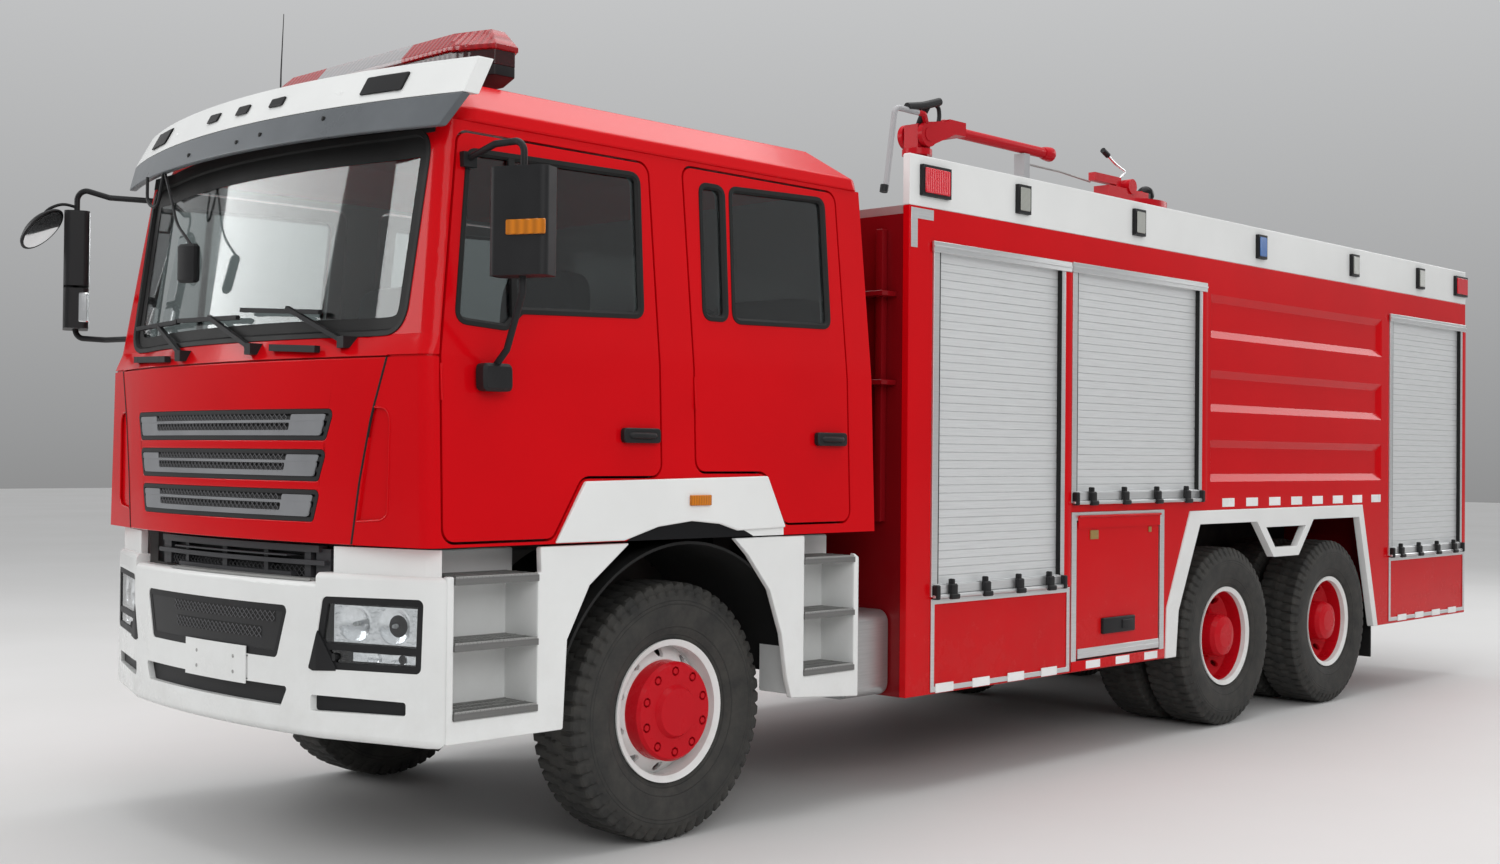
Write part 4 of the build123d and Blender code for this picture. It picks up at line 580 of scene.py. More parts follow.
def inside_cab(tree, where):
    """A mask of the cab's inner faces: nearer the middle than its leaning sides, behind its
    leaning front and ahead of its back wall, each by less than the wall's thickness."""
    x, y, z = (axis_of(tree, where, letter) for letter in "XYZ")
    aside = combine(tree, "ADD", combine(tree, "ABSOLUTE", y, 0.0), lean(tree, z, *SIDE_LEAN))
    ahead_of = combine(tree, "ADD", x, lean(tree, z, *FRONT_LEAN))
    mask = below_value(tree, aside, INNER_HALF)
    mask = combine(tree, "MULTIPLY", mask, below_value(tree, ahead_of, at_station(INNER_FRONT)))
    return combine(tree, "MULTIPLY", mask, above_value(tree, x, at_station(INNER_BACK)))


def along_x(low, high):
    """A mask between two stations."""
    def mask(tree, where):
        x = axis_of(tree, where, "X")
        return combine(tree, "MULTIPLY", above_value(tree, x, at_station(low)), below_value(tree, x, at_station(high)))
    return mask


def at_height(low, high, compare, limit):
    """A mask between two stations, where the height lies above or below a limit in metres."""
    return lambda tree, where: combine(tree, "MULTIPLY", along_x(low, high)(tree, where),
                                       compare(tree, axis_of(tree, where, "Z"), limit))


# %% Finishes in two colours
REAR_AXLES = (-4570.0, -5970.0)
HUB_RED = (0.55, 0.006, 0.014)
RIM_WHITE = dict(gloss=0.24, dust=0.25)
hub_front = overlaid(paint("front_hub", WHITE, **RIM_WHITE), HUB_RED, near_axle(0.0, 0.2085))
hub_rear = [overlaid(paint("rear_hub_%d" % k, WHITE, **RIM_WHITE), HUB_RED, near_axle(x, 0.262, 1.172))
            for k, x in enumerate(REAR_AXLES, 1)]
cab_red = overlaid(paint("cab_red", RED), (0.30, 0.31, 0.32), inside_cab)
STEEL_GREY, BLACK = (0.40, 0.40, 0.41), (0.012, 0.012, 0.013)
WHEEL_ARCH, SILL_TOP, BALL_LOW = 0.812, 1.2985, 3.40
CLEAR_HALF, LENS_FOOT = 0.33, 3.231
overlaid(cab_red, WHITE, at_height(-557, -240, below_value, SILL_TOP))
overlaid(cab_red, BLACK, near_axle(0.0, WHEEL_ARCH))
overlaid(bar_lens, (0.60, 0.61, 0.62), lambda tree, where: below_value(
    tree, combine(tree, "ABSOLUTE", axis_of(tree, where, "Y"), 0.0), CLEAR_HALF))
overlaid(bar_lens, (0.05, 0.004, 0.006), lambda tree, where: below_value(
    tree, axis_of(tree, where, "Z"), LENS_FOOT))
barrel_red = overlaid(paint("barrel_red", MONITOR_RED, gloss=0.25), STEEL_GREY, along_x(-2900, 0))
fitting_red = overlaid(paint("fitting_red", MONITOR_RED, gloss=0.25), STEEL_GREY, along_x(-4170, -4090))
overlaid(fitting_red, BLACK, at_height(-5800, -5582, above_value, BALL_LOW))
brass = metal("brass", (0.55, 0.38, 0.14), 0.35)
tread_plate = metal("tread_plate", (0.42, 0.42, 0.41), 0.4, 0.8)
lamp_chrome = metal("lamp_chrome", (0.93, 0.94, 0.95), 0.06, 1.0, (26.0, 26.0, 26.0), 0.004)
print("finishes:", len(bpy.data.materials))

# %% [markdown]
# ## Finishes on the solids
# A solid whose shape is right only needs its finish. A small bevel, added as a modifier
# on a welded copy of its facets, gives pressed panels the bright edge that real ones have.

# %% Solids and their finishes
finish_of = {
    "cab_shell": cab_red, "cab_roof": red, "front_panel": red, "front_grilles": black, "windscreen": screen,
    "roof_fairing": white, "sun_visor": visor_grey, "lightbar_base": black, "lightbar_lens": bar_lens,
    "dashboard": dash_grey, "seats": dash_grey, "bumper": white, "bumper_inserts": black, "headlamps": clear,
    "front_fenders": white, "step_treads": dark_steel, "wheel_liners": rubber, "front_axle": chassis_black,
    "rear_axles": chassis_black, "chassis_frame": chassis_black, "engine_block": iron, "chassis_tanks": tank,
    "body_shell": dark_red, "body_sides": red, "body_roof": deck, "white_trim": white, "shutter_frames": silver,
    "shutters": slats, "side_lamps": black, "wipers": black, "rear_ladder": silver, "mirror_left": black,
    "mirror_right": black, "locker_door_left": red, "locker_door_right": red,
    "roof_fittings": fitting_red, "monitor_swivel": monitor_red, "monitor_barrel": barrel_red,
    "knuckle_left": chassis_black, "knuckle_right": chassis_black,
}
for name, node in nodes.items():
    finish = finish_of.get(name)
    if finish is None:
        finish = tinted if "glass" in name else rubber if "tyre" in name else cab_red if "_door_" in name else red
    if "wheel" in name and "liners" not in name:
        finish = hub_front if name.startswith("front") else hub_rear[int(name.split("_")[2]) - 1]
    if node.data.materials:
        node.material_slots[0].material = finish
    else:
        node.data.materials.append(finish)

BEVELLED = {"cab_shell": 5, "front_panel": 5, "cab_roof": 14, "roof_fairing": 14, "sun_visor": 8, "bumper": 12,
            "front_fenders": 7, "body_sides": 4, "white_trim": 5, "shutter_frames": 3, "front_door_left": 5,
            "front_door_right": 5, "rear_door_left": 5, "rear_door_right": 5, "locker_door_left": 3,
            "locker_door_right": 3, "lightbar_lens": 10, "lightbar_base": 6, "mirror_left": 9, "mirror_right": 9,
            "chassis_tanks": 6}
for name, width in BEVELLED.items():
    weld = nodes[name].modifiers.new("weld", "WELD")
    weld.merge_threshold = 5e-5
    edge = nodes[name].modifiers.new("edge", "BEVEL")
    edge.width = width / 1000.0
    edge.segments = 2
    edge.limit_method = "ANGLE"
    edge.angle_limit = np.radians(28)
    edge.use_clamp_overlap = True
    even = nodes[name].modifiers.new("even", "WEIGHTED_NORMAL")
    even.weight = 60
print("solids dressed:", len(nodes), "bevelled:", len(BEVELLED))

# %% [markdown]
# ## Floor and light
# A pale floor and a bright overcast sky: one broad lamp overhead, one towards the front
# left, and a world that darkens a little towards the horizon, which is what gloss paint
# and window glass mirror.

# %% Floor, world and lamps
bpy.context.scene.view_settings.view_transform = "Standard"

FLOOR_HALF = 60000.0
edge_line = np.linspace(-FLOOR_HALF, FLOOR_HALF, 13)
floor_grid = np.stack(np.meshgrid(edge_line, edge_line, [0.0], indexing="ij"), -1)[:, :, 0]
floor_points, floor_quads = skin(floor_grid)
floor_mesh = bpy.data.meshes.new("floor")
floor_mesh.from_pydata((floor_points / 1000.0).tolist(), [], floor_quads[:, ::-1].tolist())
floor = bpy.data.objects.new("floor", floor_mesh)
bpy.context.scene.collection.objects.link(floor)
floor_finish, tree, shader, where = new_finish("pale_floor")
tone = spread(tree, noise(tree, where, 0.35, 4.0), 0.3, 0.7)
tree.links.new(blended(tree, tone, (0.66, 0.655, 0.645), (0.70, 0.695, 0.69)), shader.inputs["Base Color"])
shader.inputs["Roughness"].default_value = 0.6
floor_mesh.materials.append(floor_finish)

world = bpy.data.worlds.new("studio")
bpy.context.scene.world = world
world.use_nodes = True
tree = world.node_tree
back = tree.nodes["Background"]
height = axis_of(tree, tree.nodes.new("ShaderNodeTexCoord").outputs["Generated"], "Z")
ramp = tree.nodes.new("ShaderNodeValToRGB")
ramp.color_ramp.elements[0].position, ramp.color_ramp.elements[0].color = 0.48, (0.42, 0.42, 0.42, 1)
ramp.color_ramp.elements[1].position, ramp.color_ramp.elements[1].color = 0.66, (0.98, 0.99, 1.0, 1)
middle = ramp.color_ramp.elements.new(0.505)
middle.color = (0.50, 0.505, 0.51, 1)
tree.links.new(spread(tree, height, -1.0, 1.0), ramp.inputs["Fac"])
tree.links.new(ramp.outputs["Color"], back.inputs["Color"])
back.inputs["Strength"].default_value = 0.62


def soft_lamp(name, place, aim, size, power):
    """A broad rectangular lamp at a place, pointed at another."""
    data = bpy.data.lights.new(name, "AREA")
    data.shape = "RECTANGLE"
    data.size, data.size_y = size
    data.energy = power
    lamp = bpy.data.objects.new(name, data)
    away = np.asarray(place, float) - np.asarray(aim, float)
    away /= np.linalg.norm(away)
    across = np.cross([0.0, 0.0, 1.0] if abs(away[2]) < 0.99 else [0.0, 1.0, 0.0], away)
    across /= np.linalg.norm(across)
    matrix = np.eye(4)
    matrix[:3, 0], matrix[:3, 1], matrix[:3, 2] = across, np.cross(away, across), away
    matrix[:3, 3] = place
    lamp.matrix_world = Matrix(matrix.tolist())
    bpy.context.scene.collection.objects.link(lamp)


soft_lamp("overhead", (0.0, 0.0, 11.0), (0.0, 0.0, 0.0), (14.0, 9.0), 760)
soft_lamp("front_left", (9.0, 12.0, 7.0), (0.5, 0.0, 1.5), (9.0, 6.0), 520)
soft_lamp("front_right", (11.0, -9.0, 6.0), (1.0, 0.0, 1.5), (7.0, 5.0), 380)
soft_lamp("behind", (-14.0, 3.0, 7.0), (-2.0, 0.0, 1.5), (8.0, 5.0), 300)

# %% [markdown]
# ## Tyres
# A lorry tyre is a ring whose cross-section swells at the side wall and carries blocks
# on the shoulder. The section is a profile of radius over width; grooves take a depth off
# it where a wave round the tyre says so, shifted between the two shoulders. Blocks made one
# by one would need hundreds of joints, while a single grid has none.

# %% Tyres
FRONT_TRACK, REAR_TRACK, DUAL_SPACING = 2000.0, 1840.0, 334.0
BLOCKS = 56
GROOVE = 13.0
AROUND = BLOCKS * 7
# Half width and radius, from the bead over the side wall and the shoulder to the tread's middle
TYRE_PROFILE = np.array([
    (114, 287), (114, 299), (120, 309), (133, 330), (142, 360), (148, 395), (150, 430), (150, 460),
    (147, 484), (145, 487), (141, 503), (136, 508), (131, 519), (127, 530), (118, 537), (96, 537.5),
    (86, 538), (60, 539), (50, 539.2), (18, 540), (9, 540), (0, 540)], float)


def pulse(value, middle, half):
    """A triangle that is 1 at its middle and falls to 0 half a width away."""
    return np.clip(1 - np.abs(value - middle) / half, 0, 1)


def slit(cell, half, slope):
    """1 near the whole numbers of a cell count, falling to 0 over a slope beyond a half width."""
    return np.clip((half - np.minimum(cell, 1 - cell)) / slope, 0, 1)


def tyre(centre, spin=0.0):
    """A tyre about the Y axis: radius and width follow the side wall, the tread lies at the
    full radius, and grooves take a depth off it between the blocks."""
    half_width, radius = TYRE_PROFILE.T
    across = np.concatenate([-half_width, half_width[-2::-1]])
    base = np.concatenate([radius, radius[-2::-1]])
    angle = np.linspace(0, 2 * np.pi, AROUND, endpoint=False) + spin
    turn, side = angle[:, None] * BLOCKS / (2 * np.pi), across[None]
    outer = np.abs(side)
    cell = (turn + 0.5 * (side > 0) + 0.0016 * side) % 1.0
    gap = slit(cell, 0.16, 0.05)
    shoulder = np.clip((outer - 44.0) / 8.0, 0, 1)
    waist = np.clip((base[None] - 480.0) / 20.0, 0, 1)
    sipe = slit((turn + 0.25 + 0.004 * side) % 1.0, 0.10, 0.04) * (outer < 52)
    ring = pulse(outer, 54.0, 7.0) + pulse(outer, 4.0, 5.0) * 0.7
    middle = np.maximum(0.75 * sipe, 0.8 * ring * (base[None] > 500))
    depth = GROOVE * np.clip(np.maximum(gap * shoulder * waist, middle), 0, 1)
    r = base[None] - depth
    width = np.sign(side) * (outer - 0.35 * depth * (outer > 110))
    grid = np.stack([r * np.cos(angle)[:, None], width + 0 * r, r * np.sin(angle)[:, None]], -1)
    return skin(grid + np.asarray(centre, float), round_u=True, round_v=True)


WALL_RINGS = (0.318, 0.352, 0.447, 0.462)
RING_HALF = 0.0035


def tyre_rubber(name, station):
    """Rubber of the wheels at a station: dust in patches, and thin moulded rings round the
    side wall, each a ridge where the distance from the axle is near the ring's radius."""
    material, tree, shader, where = new_finish(name)
    dusty = spread(tree, noise(tree, where, 9.0, 6.0, 0.7), 0.35, 0.75)
    tone = blended(tree, dusty, (0.021, 0.021, 0.020), (0.052, 0.049, 0.043))
    away = from_axle(tree, where, station)
    ridge = None
    for radius in WALL_RINGS:
        near = combine(tree, "ABSOLUTE", combine(tree, "SUBTRACT", away, radius), 0.0)
        line = spread(tree, near, 0.0, RING_HALF, 1.0, 0.0)
        ridge = line if ridge is None else combine(tree, "MAXIMUM", ridge, line)
    tone = blended(tree, combine(tree, "MULTIPLY", ridge, 0.55), tone, (0.008, 0.008, 0.008))
    tree.links.new(tone, shader.inputs["Base Color"])
    shader.inputs["Roughness"].default_value = 0.78
    grain = combine(tree, "MULTIPLY", noise(tree, where, 420.0, 3.0), 0.12)
    bump(tree, shader, combine(tree, "ADD", grain, ridge), 0.0035, 0.6)
    return material


front_rubber = tyre_rubber("front_tyre_rubber", 0.0)
rear_rubber = [tyre_rubber("rear_tyre_rubber_%d" % k, axle) for k, axle in enumerate(REAR_AXLES, 1)]
for hand, side in ((1, "left"), (-1, "right")):
    show("front_tread_" + side, tyre((0.0, hand * FRONT_TRACK / 2, TYRE_R)), front_rubber, "front_wheel_" + side,
         ["front_tyre_" + side], 30)
    for number, axle in enumerate(REAR_AXLES, 1):
        pair = [tyre((axle, hand * (REAR_TRACK / 2 + k * DUAL_SPACING / 2), TYRE_R), 0.05 * number) for k in (1, -1)]
        which = "%d_%s" % (number, side)
        show("rear_treads_" + which, together(pair), rear_rubber[number - 1], "rear_wheels_" + which,
             ["rear_tyres_" + which], 30)
print("tyres: facets of one", 2 * len(tyre((0, 0, 0))[1]))

# %% [markdown]
# ## The skins that small pieces sit on
# A seal, a lamp or a handle follows the panel it sits on. Three functions give those
# panels: the cab's sides, which lean inward with height, its bowed front, and the flat
# side of the body. Each takes points of a flat outline and a height above the skin.

# %% Skins of the cab and the body
CAB_SECTIONS = np.array([(1265, 1247, 1315, 1394, 1480), (1965, 1221, 1315, 1394, 1480),
                         (2045, 1213, 1292, 1320, 1440), (2850, 1131, 1182, 1206, 1318)], float)
KNEE_Y, BODY_HALF, FENDER_OUT = 863.0, 1250.0, 1245.0
BUMPER_PLAN = np.array([(1238, 1250), (1284, 1190), (1440, 720)], float)
NOSE = 1500.0


def section(z, column):
    """One column of the cab's sections at a height, on straight lines between them."""
    return np.interp(z, CAB_SECTIONS[:, 0], CAB_SECTIONS[:, column])


def on_side(flat, lift):
    """Station and height on the cab's left side: y is the half width there plus the lift."""
    return np.column_stack([flat[:, 0], section(flat[:, 1], 1) + lift, flat[:, 1]])


def front_x(y, z):
    """The bowed front: x = nose - R + sqrt(R^2 - y^2) between the knees, where R = (k^2 + s^2) / 2s
    for a knee at k and a sag s, and a straight line from each knee to its corner."""
    half, corner, knee, nose = (section(z, k) for k in (1, 2, 3, 4))
    sag = nose - knee
    radius = (KNEE_Y ** 2 + sag ** 2) / (2 * sag)
    away = np.abs(y)
    bowed = nose - radius + np.sqrt(np.maximum(radius ** 2 - np.minimum(away, KNEE_Y) ** 2, 0.0))
    straight = knee + (away - KNEE_Y) / (half - KNEE_Y) * (corner - knee)
    return np.where(away <= KNEE_Y, bowed, straight)


def on_front(flat, lift):
    """Distance across and height on the cab's front: x is the bowed front plus the lift."""
    return np.column_stack([front_x(flat[:, 0], flat[:, 1]) + lift, flat[:, 0], flat[:, 1]])


def bumper_x(y):
    """The bumper's face: an arc through its middle and both inner corners, then straight."""
    (x0, y0), (x1, y1), (x2, y2) = BUMPER_PLAN
    sag = NOSE - x2
    radius = (y2 ** 2 + sag ** 2) / (2 * sag)
    away = np.abs(y)
    arc = NOSE - radius + np.sqrt(np.maximum(radius ** 2 - np.minimum(away, y2) ** 2, 0.0))
    return np.where(away <= y2, arc, np.interp(away, [y2, y1, y0], [x2, x1, x0]))


def on_bumper(flat, lift):
    """Distance across and height on the bumper's face."""
    return np.column_stack([bumper_x(flat[:, 0]) + lift, flat[:, 0], flat[:, 1]])


def on_body(flat, lift):
    """Station and height on the body's flat left side."""
    return np.column_stack([flat[:, 0], np.full(len(flat), BODY_HALF + lift), flat[:, 1]])


def patch(low, high, radius, steps=5):
    """A rounded rectangle between two corners of a flat outline."""
    (a, b), (c, d) = low, high
    return rounded_loop([(a, b), (c, b), (c, d), (a, d)], radius, steps)


def dense(loop, step):
    """A closed outline with extra points, so that it can follow a bowed skin."""
    out = []
    for start, end in zip(loop, np.roll(loop, -1, 0)):
        count = max(1, int(np.ceil(np.linalg.norm(end - start) / step)))
        out.append(start + (end - start) * np.linspace(0, 1, count, endpoint=False)[:, None])
    return np.concatenate(out)


print("cab half width at the sill and the roof:", section(CAB_SECTIONS[[0, -1], 0], 1))

# %% [markdown]
# ## Window seals
# A black rubber seal runs round every pane. Its section is a small closed band: it laps
# over the panel outside and drops onto the glass inside. The screen has a wide black
# border baked onto the glass as well. Two black bands at the screen's top are painted
# shade of the visor: one on the red strip under it, and one just inside the glass.

# %% Window seals and door handles
FRONT_WINDOW = [(1172, 2098), (950, 2084), (872, 2152), (255, 2174), (232, 2750), (1080, 2736)]
REAR_WINDOWS = [[(-108, 2190), (-236, 2190), (-262, 2756), (-132, 2756)],
                [(-286, 2186), (-898, 2200), (-914, 2780), (-314, 2760)]]
SEAL = [(-15, 0.5), (-13, 4.5), (3, 4.5), (13, -6), (13, -13), (1, -13)]
WINDOW_ROUND = 38.0
DIVIDER = [(922, 2096), (893, 2126), (868, 2742), (898, 2742)]
HANDLE_Z = 1686.0
HANDLE_PATH = np.array([(-74, 6), (-60, 30), (0, 36), (60, 30), (74, 6)], float)


def door_handle(x):
    """A moulded pull: a flat cup on the door, and a bowed grip over it, swept along five points."""
    cup = plate(patch((x - 100, HANDLE_Z - 30), (x + 100, HANDLE_Z + 30), 18), on_side, 0.5, 28, 4)
    run = bent(np.column_stack([x + HANDLE_PATH[:, 0], section(HANDLE_Z, 1) + HANDLE_PATH[:, 1],
                                np.full(len(HANDLE_PATH), HANDLE_Z)]), 20)
    return together([cup, tube(run, 13)])


DOOR_HANDLES = {"front": 291.0, "rear": -868.0}
DOOR_WINDOWS = {"front": [FRONT_WINDOW], "rear": REAR_WINDOWS}
for place, windows in DOOR_WINDOWS.items():
    pieces = [rim_band(rounded_loop(window, WINDOW_ROUND), SEAL, on_side) for window in windows]
    if place == "front":
        pieces.append(plate(rounded_loop(DIVIDER, 4), on_side, -13, 3, 1.5))
    grip = door_handle(DOOR_HANDLES[place])
    for side, turn in (("left", lambda shape: shape), ("right", flipped)):
        body = "%s_door_%s" % (place, side)
        show("seals_" + body, turn(together(pieces)), rubber, body)
        show("handle_" + body, turn(grip), black, body)

screen_loop = dense(rounded_loop([(1050, 2056), (1062, 2806), (-1062, 2806), (-1050, 2056)], 105, 10), 60)
screen_seal = rim_band(screen_loop, [(-16, 0.5), (-14, 5), (4, 4), (12, -10), (4, -13)], on_front)
border = rim_band(screen_loop, [(4, -14.5), (4, -12), (56, -12), (56, -14.5)], on_front)
# Painted shade: a black band on the red strip under the visor, and a dark band just inside the glass at the screen's
# top, stand for the visor's shadow.
visor_shadow_band = slab(on_front, (-1085, 1085), (2800, 2850), 0.4, 3.0, 60)
screen_top_shade = slab(on_front, (-1030, 1030), (2715, 2760), -13.6, -12.2, 60)
show("screen_border_and_visor_shade", together([screen_seal, border, visor_shadow_band, screen_top_shade]), rubber)
print("screen outline points:", len(screen_loop))

# %% [markdown]
# ## Grilles
# Each grille slot gets woven wire: zigzag strands, every second one shifted by half a
# wave, so that neighbours touch. A picture of a mesh would look flat from the side, so the
# strands are thin tubes with four sides. A grey collar frames the wire.

# %% Grilles
MESH_STEP = 50.0


def strand(start, end, z, lift, wave=30.0, swing=6.5, phase=0.0, radius=2.4):
    """A wire across the front: z swings as a triangle wave along y."""
    y = np.arange(start, end, wave / 2)
    up = np.where((np.arange(len(y)) + phase) % 2 < 1, swing, -swing)
    return tube(lift(np.column_stack([y, z + up]), 0.0), radius, 4)


def woven(span, low, high, lift):
    """Rows of strands between two heights, alternately shifted."""
    rows = np.arange(low + 6, high - 4, 13.0)
    return together([strand(*span, z, lift, phase=k) for k, z in enumerate(rows)])


def slot_loop(slot, sides, low_share, high_share, radius):
    """A rounded outline in a grille slot: shares of its height, and of its half width there."""
    top, low, half_top, half_low = slot
    low_z, high_z = (low + share * (top - low) for share in (low_share, high_share))
    low_y, high_y = (half_low + share * (half_top - half_low) for share in (low_share, high_share))
    first, last = sides
    corners = [(first * low_y, low_z), (first * high_y, high_z), (last * high_y, high_z), (last * low_y, low_z)]
    return dense(rounded_loop(corners, radius), MESH_STEP)


def collar(slot, outer, inner, lift, low, high):
    """A flat ring between two outlines with as many points: four rings of them make its skin."""
    outside, inside = (slot_loop(slot, *sizes) for sizes in (outer, inner))
    steps = np.linspace(0, 1, 240, endpoint=False)

    def even(loop):
        closed = np.vstack([loop, loop[:1]])
        way = np.concatenate([[0.0], np.cumsum(np.linalg.norm(np.diff(closed, axis=0), axis=1))])
        return np.column_stack([np.interp(steps, way / way[-1], closed[:, k]) for k in (0, 1)])

    rings = [lift(even(outside), low), lift(even(outside), high), lift(even(inside), high), lift(even(inside), low)]
    return skin(np.stack(rings, 1), round_u=True, round_v=True)


GRILLES = [(1770, 1652, 771, 727), (1617, 1498, 734, 691), (1465, 1345, 700, 664)]
LOWER_MESH, UPPER_MESH = (0.33, 0.57), (0.67, 0.86)
MESH_REACH, COLLAR_REACH = 0.70, 0.955
wires, collars = [], []
for slot in GRILLES:
    top, low, half_top, half_low = slot
    reach = MESH_REACH * half_low
    for bottom, ceiling in (LOWER_MESH, UPPER_MESH):
        z0, z1 = low + bottom * (top - low), low + ceiling * (top - low)
        wires.append(woven((-reach - 4, reach + 4), z0 - 5, z1 + 5, lambda flat, lift: on_front(flat, lift + 0.5)))
    outer = ((-COLLAR_REACH, COLLAR_REACH), 0.155, 0.66, 14)
    inner = ((-MESH_REACH, MESH_REACH), *LOWER_MESH, 6)
    collars.append(collar(slot, outer, inner, on_front, -2, 3))
    for hand in (-1, 1):
        ends = sorted((hand * COLLAR_REACH, hand * MESH_REACH))
        collars.append(plate(slot_loop(slot, ends, 0.62, 0.84, 10), on_front, -2, 3, 1.0))
show("grille_wires", together(wires), wire_grey)
show("grille_collars", together(collars), insert_grey)
print("grille meshes:", len(wires), "collars:", len(collars))

# %% [markdown]
# ## Bumper and nose
# The bumper has a dark panel with two bands of mesh let in flush, a ribbed tread strip on
# top, and a blank number plate. Beams and wire fill the gap under the front panel. All of
# them follow the bumper's bow, so each is a slab laid on the bumper's skin.

# %% Bumper and nose
BUMPER_BANDS = [((-279, 478), (958, 1000)), ((-256, 392), (892, 936))]
PANEL_DEPTH = 5.6
show("bumper_panel", slab(on_bumper, (-535, 535), (836, 1012), -PANEL_DEPTH - 6, -PANEL_DEPTH, 40), panel_grey)
bands = [slab(on_bumper, span, heights, -PANEL_DEPTH - 3, -PANEL_DEPTH + 0.5, 30) for span, heights in BUMPER_BANDS]
show("bumper_bands", together(bands), rubber)
mesh_wires = [woven(span, *heights, lambda flat, lift: on_bumper(flat, lift - PANEL_DEPTH + 1))
              for span, heights in BUMPER_BANDS]
show("bumper_wires", together(mesh_wires), wire_grey)

WALL_DEPTH = 106.0
beams = [slab(on_bumper, (-560, 640), (1226, 1252), -WALL_DEPTH, -WALL_DEPTH + 40),
         slab(on_bumper, (-590, 680), (1178, 1196), -WALL_DEPTH, -WALL_DEPTH + 46)]
for y, half in ((-540, 40), (-330, 14), (0, 18), (300, 14), (560, 18), (650, 40)):
    beams.append(slab(on_bumper, (y - half, y + half), (1130, 1240), -WALL_DEPTH, -WALL_DEPTH + 26, 3))
for low, high, out in ((1130, 1146, 40), (1208, 1214, 60)):
    beams.append(slab(on_bumper, (-380, 480), (low, high), -WALL_DEPTH, -WALL_DEPTH + out))
show("nose_beams", together(beams), grille_grey)
brow_mesh = [woven((-540, 540), 1130, 1172, lambda flat, lift: on_bumper(flat, lift - WALL_DEPTH + 14))]
show("nose_wires", together(brow_mesh), wire_grey)
show("blank_plate", slab(on_bumper, (-155, 300), (706, 852), 0.5, 5.0), white)
BUMPER_TOP = 1122.0
TREAD_RIBS = [((10, 66), 3), ((14, 20), 9), ((34, 40), 9), ((54, 60), 9)]


def on_bumper_top(flat, lift):
    """Distance across and depth behind the face, on the bumper's flat top."""
    across, depth = flat.T
    return np.column_stack([bumper_x(across) - depth, across, np.full(len(flat), BUMPER_TOP + lift)])


top_strip = [slab(on_bumper_top, (-330, 660), depths, 0.3, out, 40) for depths, out in TREAD_RIBS]
show("bumper_tread", together(top_strip), tread_plate)
corner_way = np.linspace(679, 806, 24)
corner_roof = np.interp(corner_way, [679, 690, 722, 806], [806, 838, 943, 808])
corner_floor = np.interp(corner_way, [679, 700, 806], [798, 790, 796])
lamp_corner = slab(on_bumper, (679, 806), (corner_floor, corner_roof), -3.0, 2.0)
show("lamp_corners", both(lamp_corner), black)
SCREW = [(0, 0), (8, 0), (7, 3), (0, 4)]
screws = [lathe(SCREW, (bumper_x(y) + 3.5, y, z), 0, 10) for y in (-60, 216) for z in (745, 806)]
show("plate_screws", together(screws), steel)
print("nose beams:", len(beams), "tread ribs:", len(top_strip))

# %% [markdown]
# ## Headlamps
# Behind the glass of a headlamp sits a pressed reflector: a flat sheet with round bowls,
# whose depth falls off with the square of the distance. Real bowls throw the light about,
# so the sheet is polished metal and the lamp gets its look from what it mirrors.

# %% Headlamps
BOWLS = np.array([(866, 972), (1036, 972)], float)
BOWL_R = 66.0


def reflector(y_range, z_range, bowls, radius, flat_depth, bowl_depth):
    """A pressed sheet behind a lens: depth = flat + bowl * (1 - r^2 / R^2) inside each bowl."""
    y = np.linspace(*y_range, 64)[:, None] + np.zeros((1, 30))
    z = np.zeros((64, 1)) + np.linspace(*z_range, 30)[None]
    depth = np.full(y.shape, flat_depth)
    for cy, cz in bowls:
        near = ((y - cy) ** 2 + (z - cz) ** 2) / radius ** 2
        depth = np.maximum(depth, flat_depth + bowl_depth * np.maximum(1 - near, 0.0))
    outer = np.stack([bumper_x(y) - depth, y, z], -1)
    inner = outer - np.array([1.5, 0.0, 0.0])
    return skin(np.concatenate([outer, inner[::-1]]), round_u=True)


BULB, BULB_DEPTH = [(0, 0), (7, 1), (9, 8), (9, 20), (6, 27), (0, 29)], 44.0
bulbs = [lathe([(r, h + bumper_x(cy) - BULB_DEPTH) for r, h in BULB], (0, cy, cz), 0, 20) for cy, cz in BOWLS]
upper = reflector((774, 1146), (902, 1040), BOWLS, BOWL_R, 24.0, 18.0)
lower = reflector((858, 1138), (834, 866), [(950, 850), (1060, 850)], 30.0, 26.0, 12.0)
button = lathe([(0, 0), (13, 0), (15, 3), (15, 18), (0, 20)], (bumper_x(796) - 16, 796, 846), 0, 20)
show("lamp_reflectors", both(together([upper, lower])), lamp_chrome)
show("lamp_bulbs", both(together(bulbs)), white_lens)
show("lamp_buttons", both(button), black)
print("bowls of a headlamp:", len(BOWLS))

# %% [markdown]
# ## Seams, beads and bolts of the cab's front
# The middle panel of the front lifts off, so a dark seam runs down on each side of it. The
# corners beside it are pressed with a rounded bead. Both are thin tubes half sunk in the
# skin, which catches the light as a real fold does.

# %% Seams, beads and bolts
PANEL_SEAM = [(869, 1268), (905, 1500), (958, 1740), (1030, 1958)]
CORNER_BEAD = [(975, 1775), (1028, 1773), (1051, 1740), (1047, 1384), (1020, 1361), (896, 1352)]


def along_front(run, lift, radius, ease=30.0):
    """A tube that follows a run of points on the cab's front, with short steps between them."""
    run = bent(run, ease)
    steps = np.concatenate([np.linspace(a, b, 8, endpoint=False) for a, b in zip(run, run[1:])] + [run[-1:]])
    keep = np.concatenate([[True], np.linalg.norm(np.diff(steps, axis=0), axis=1) > 0.5])
    return tube(on_front(steps[keep], lift), radius, 8)


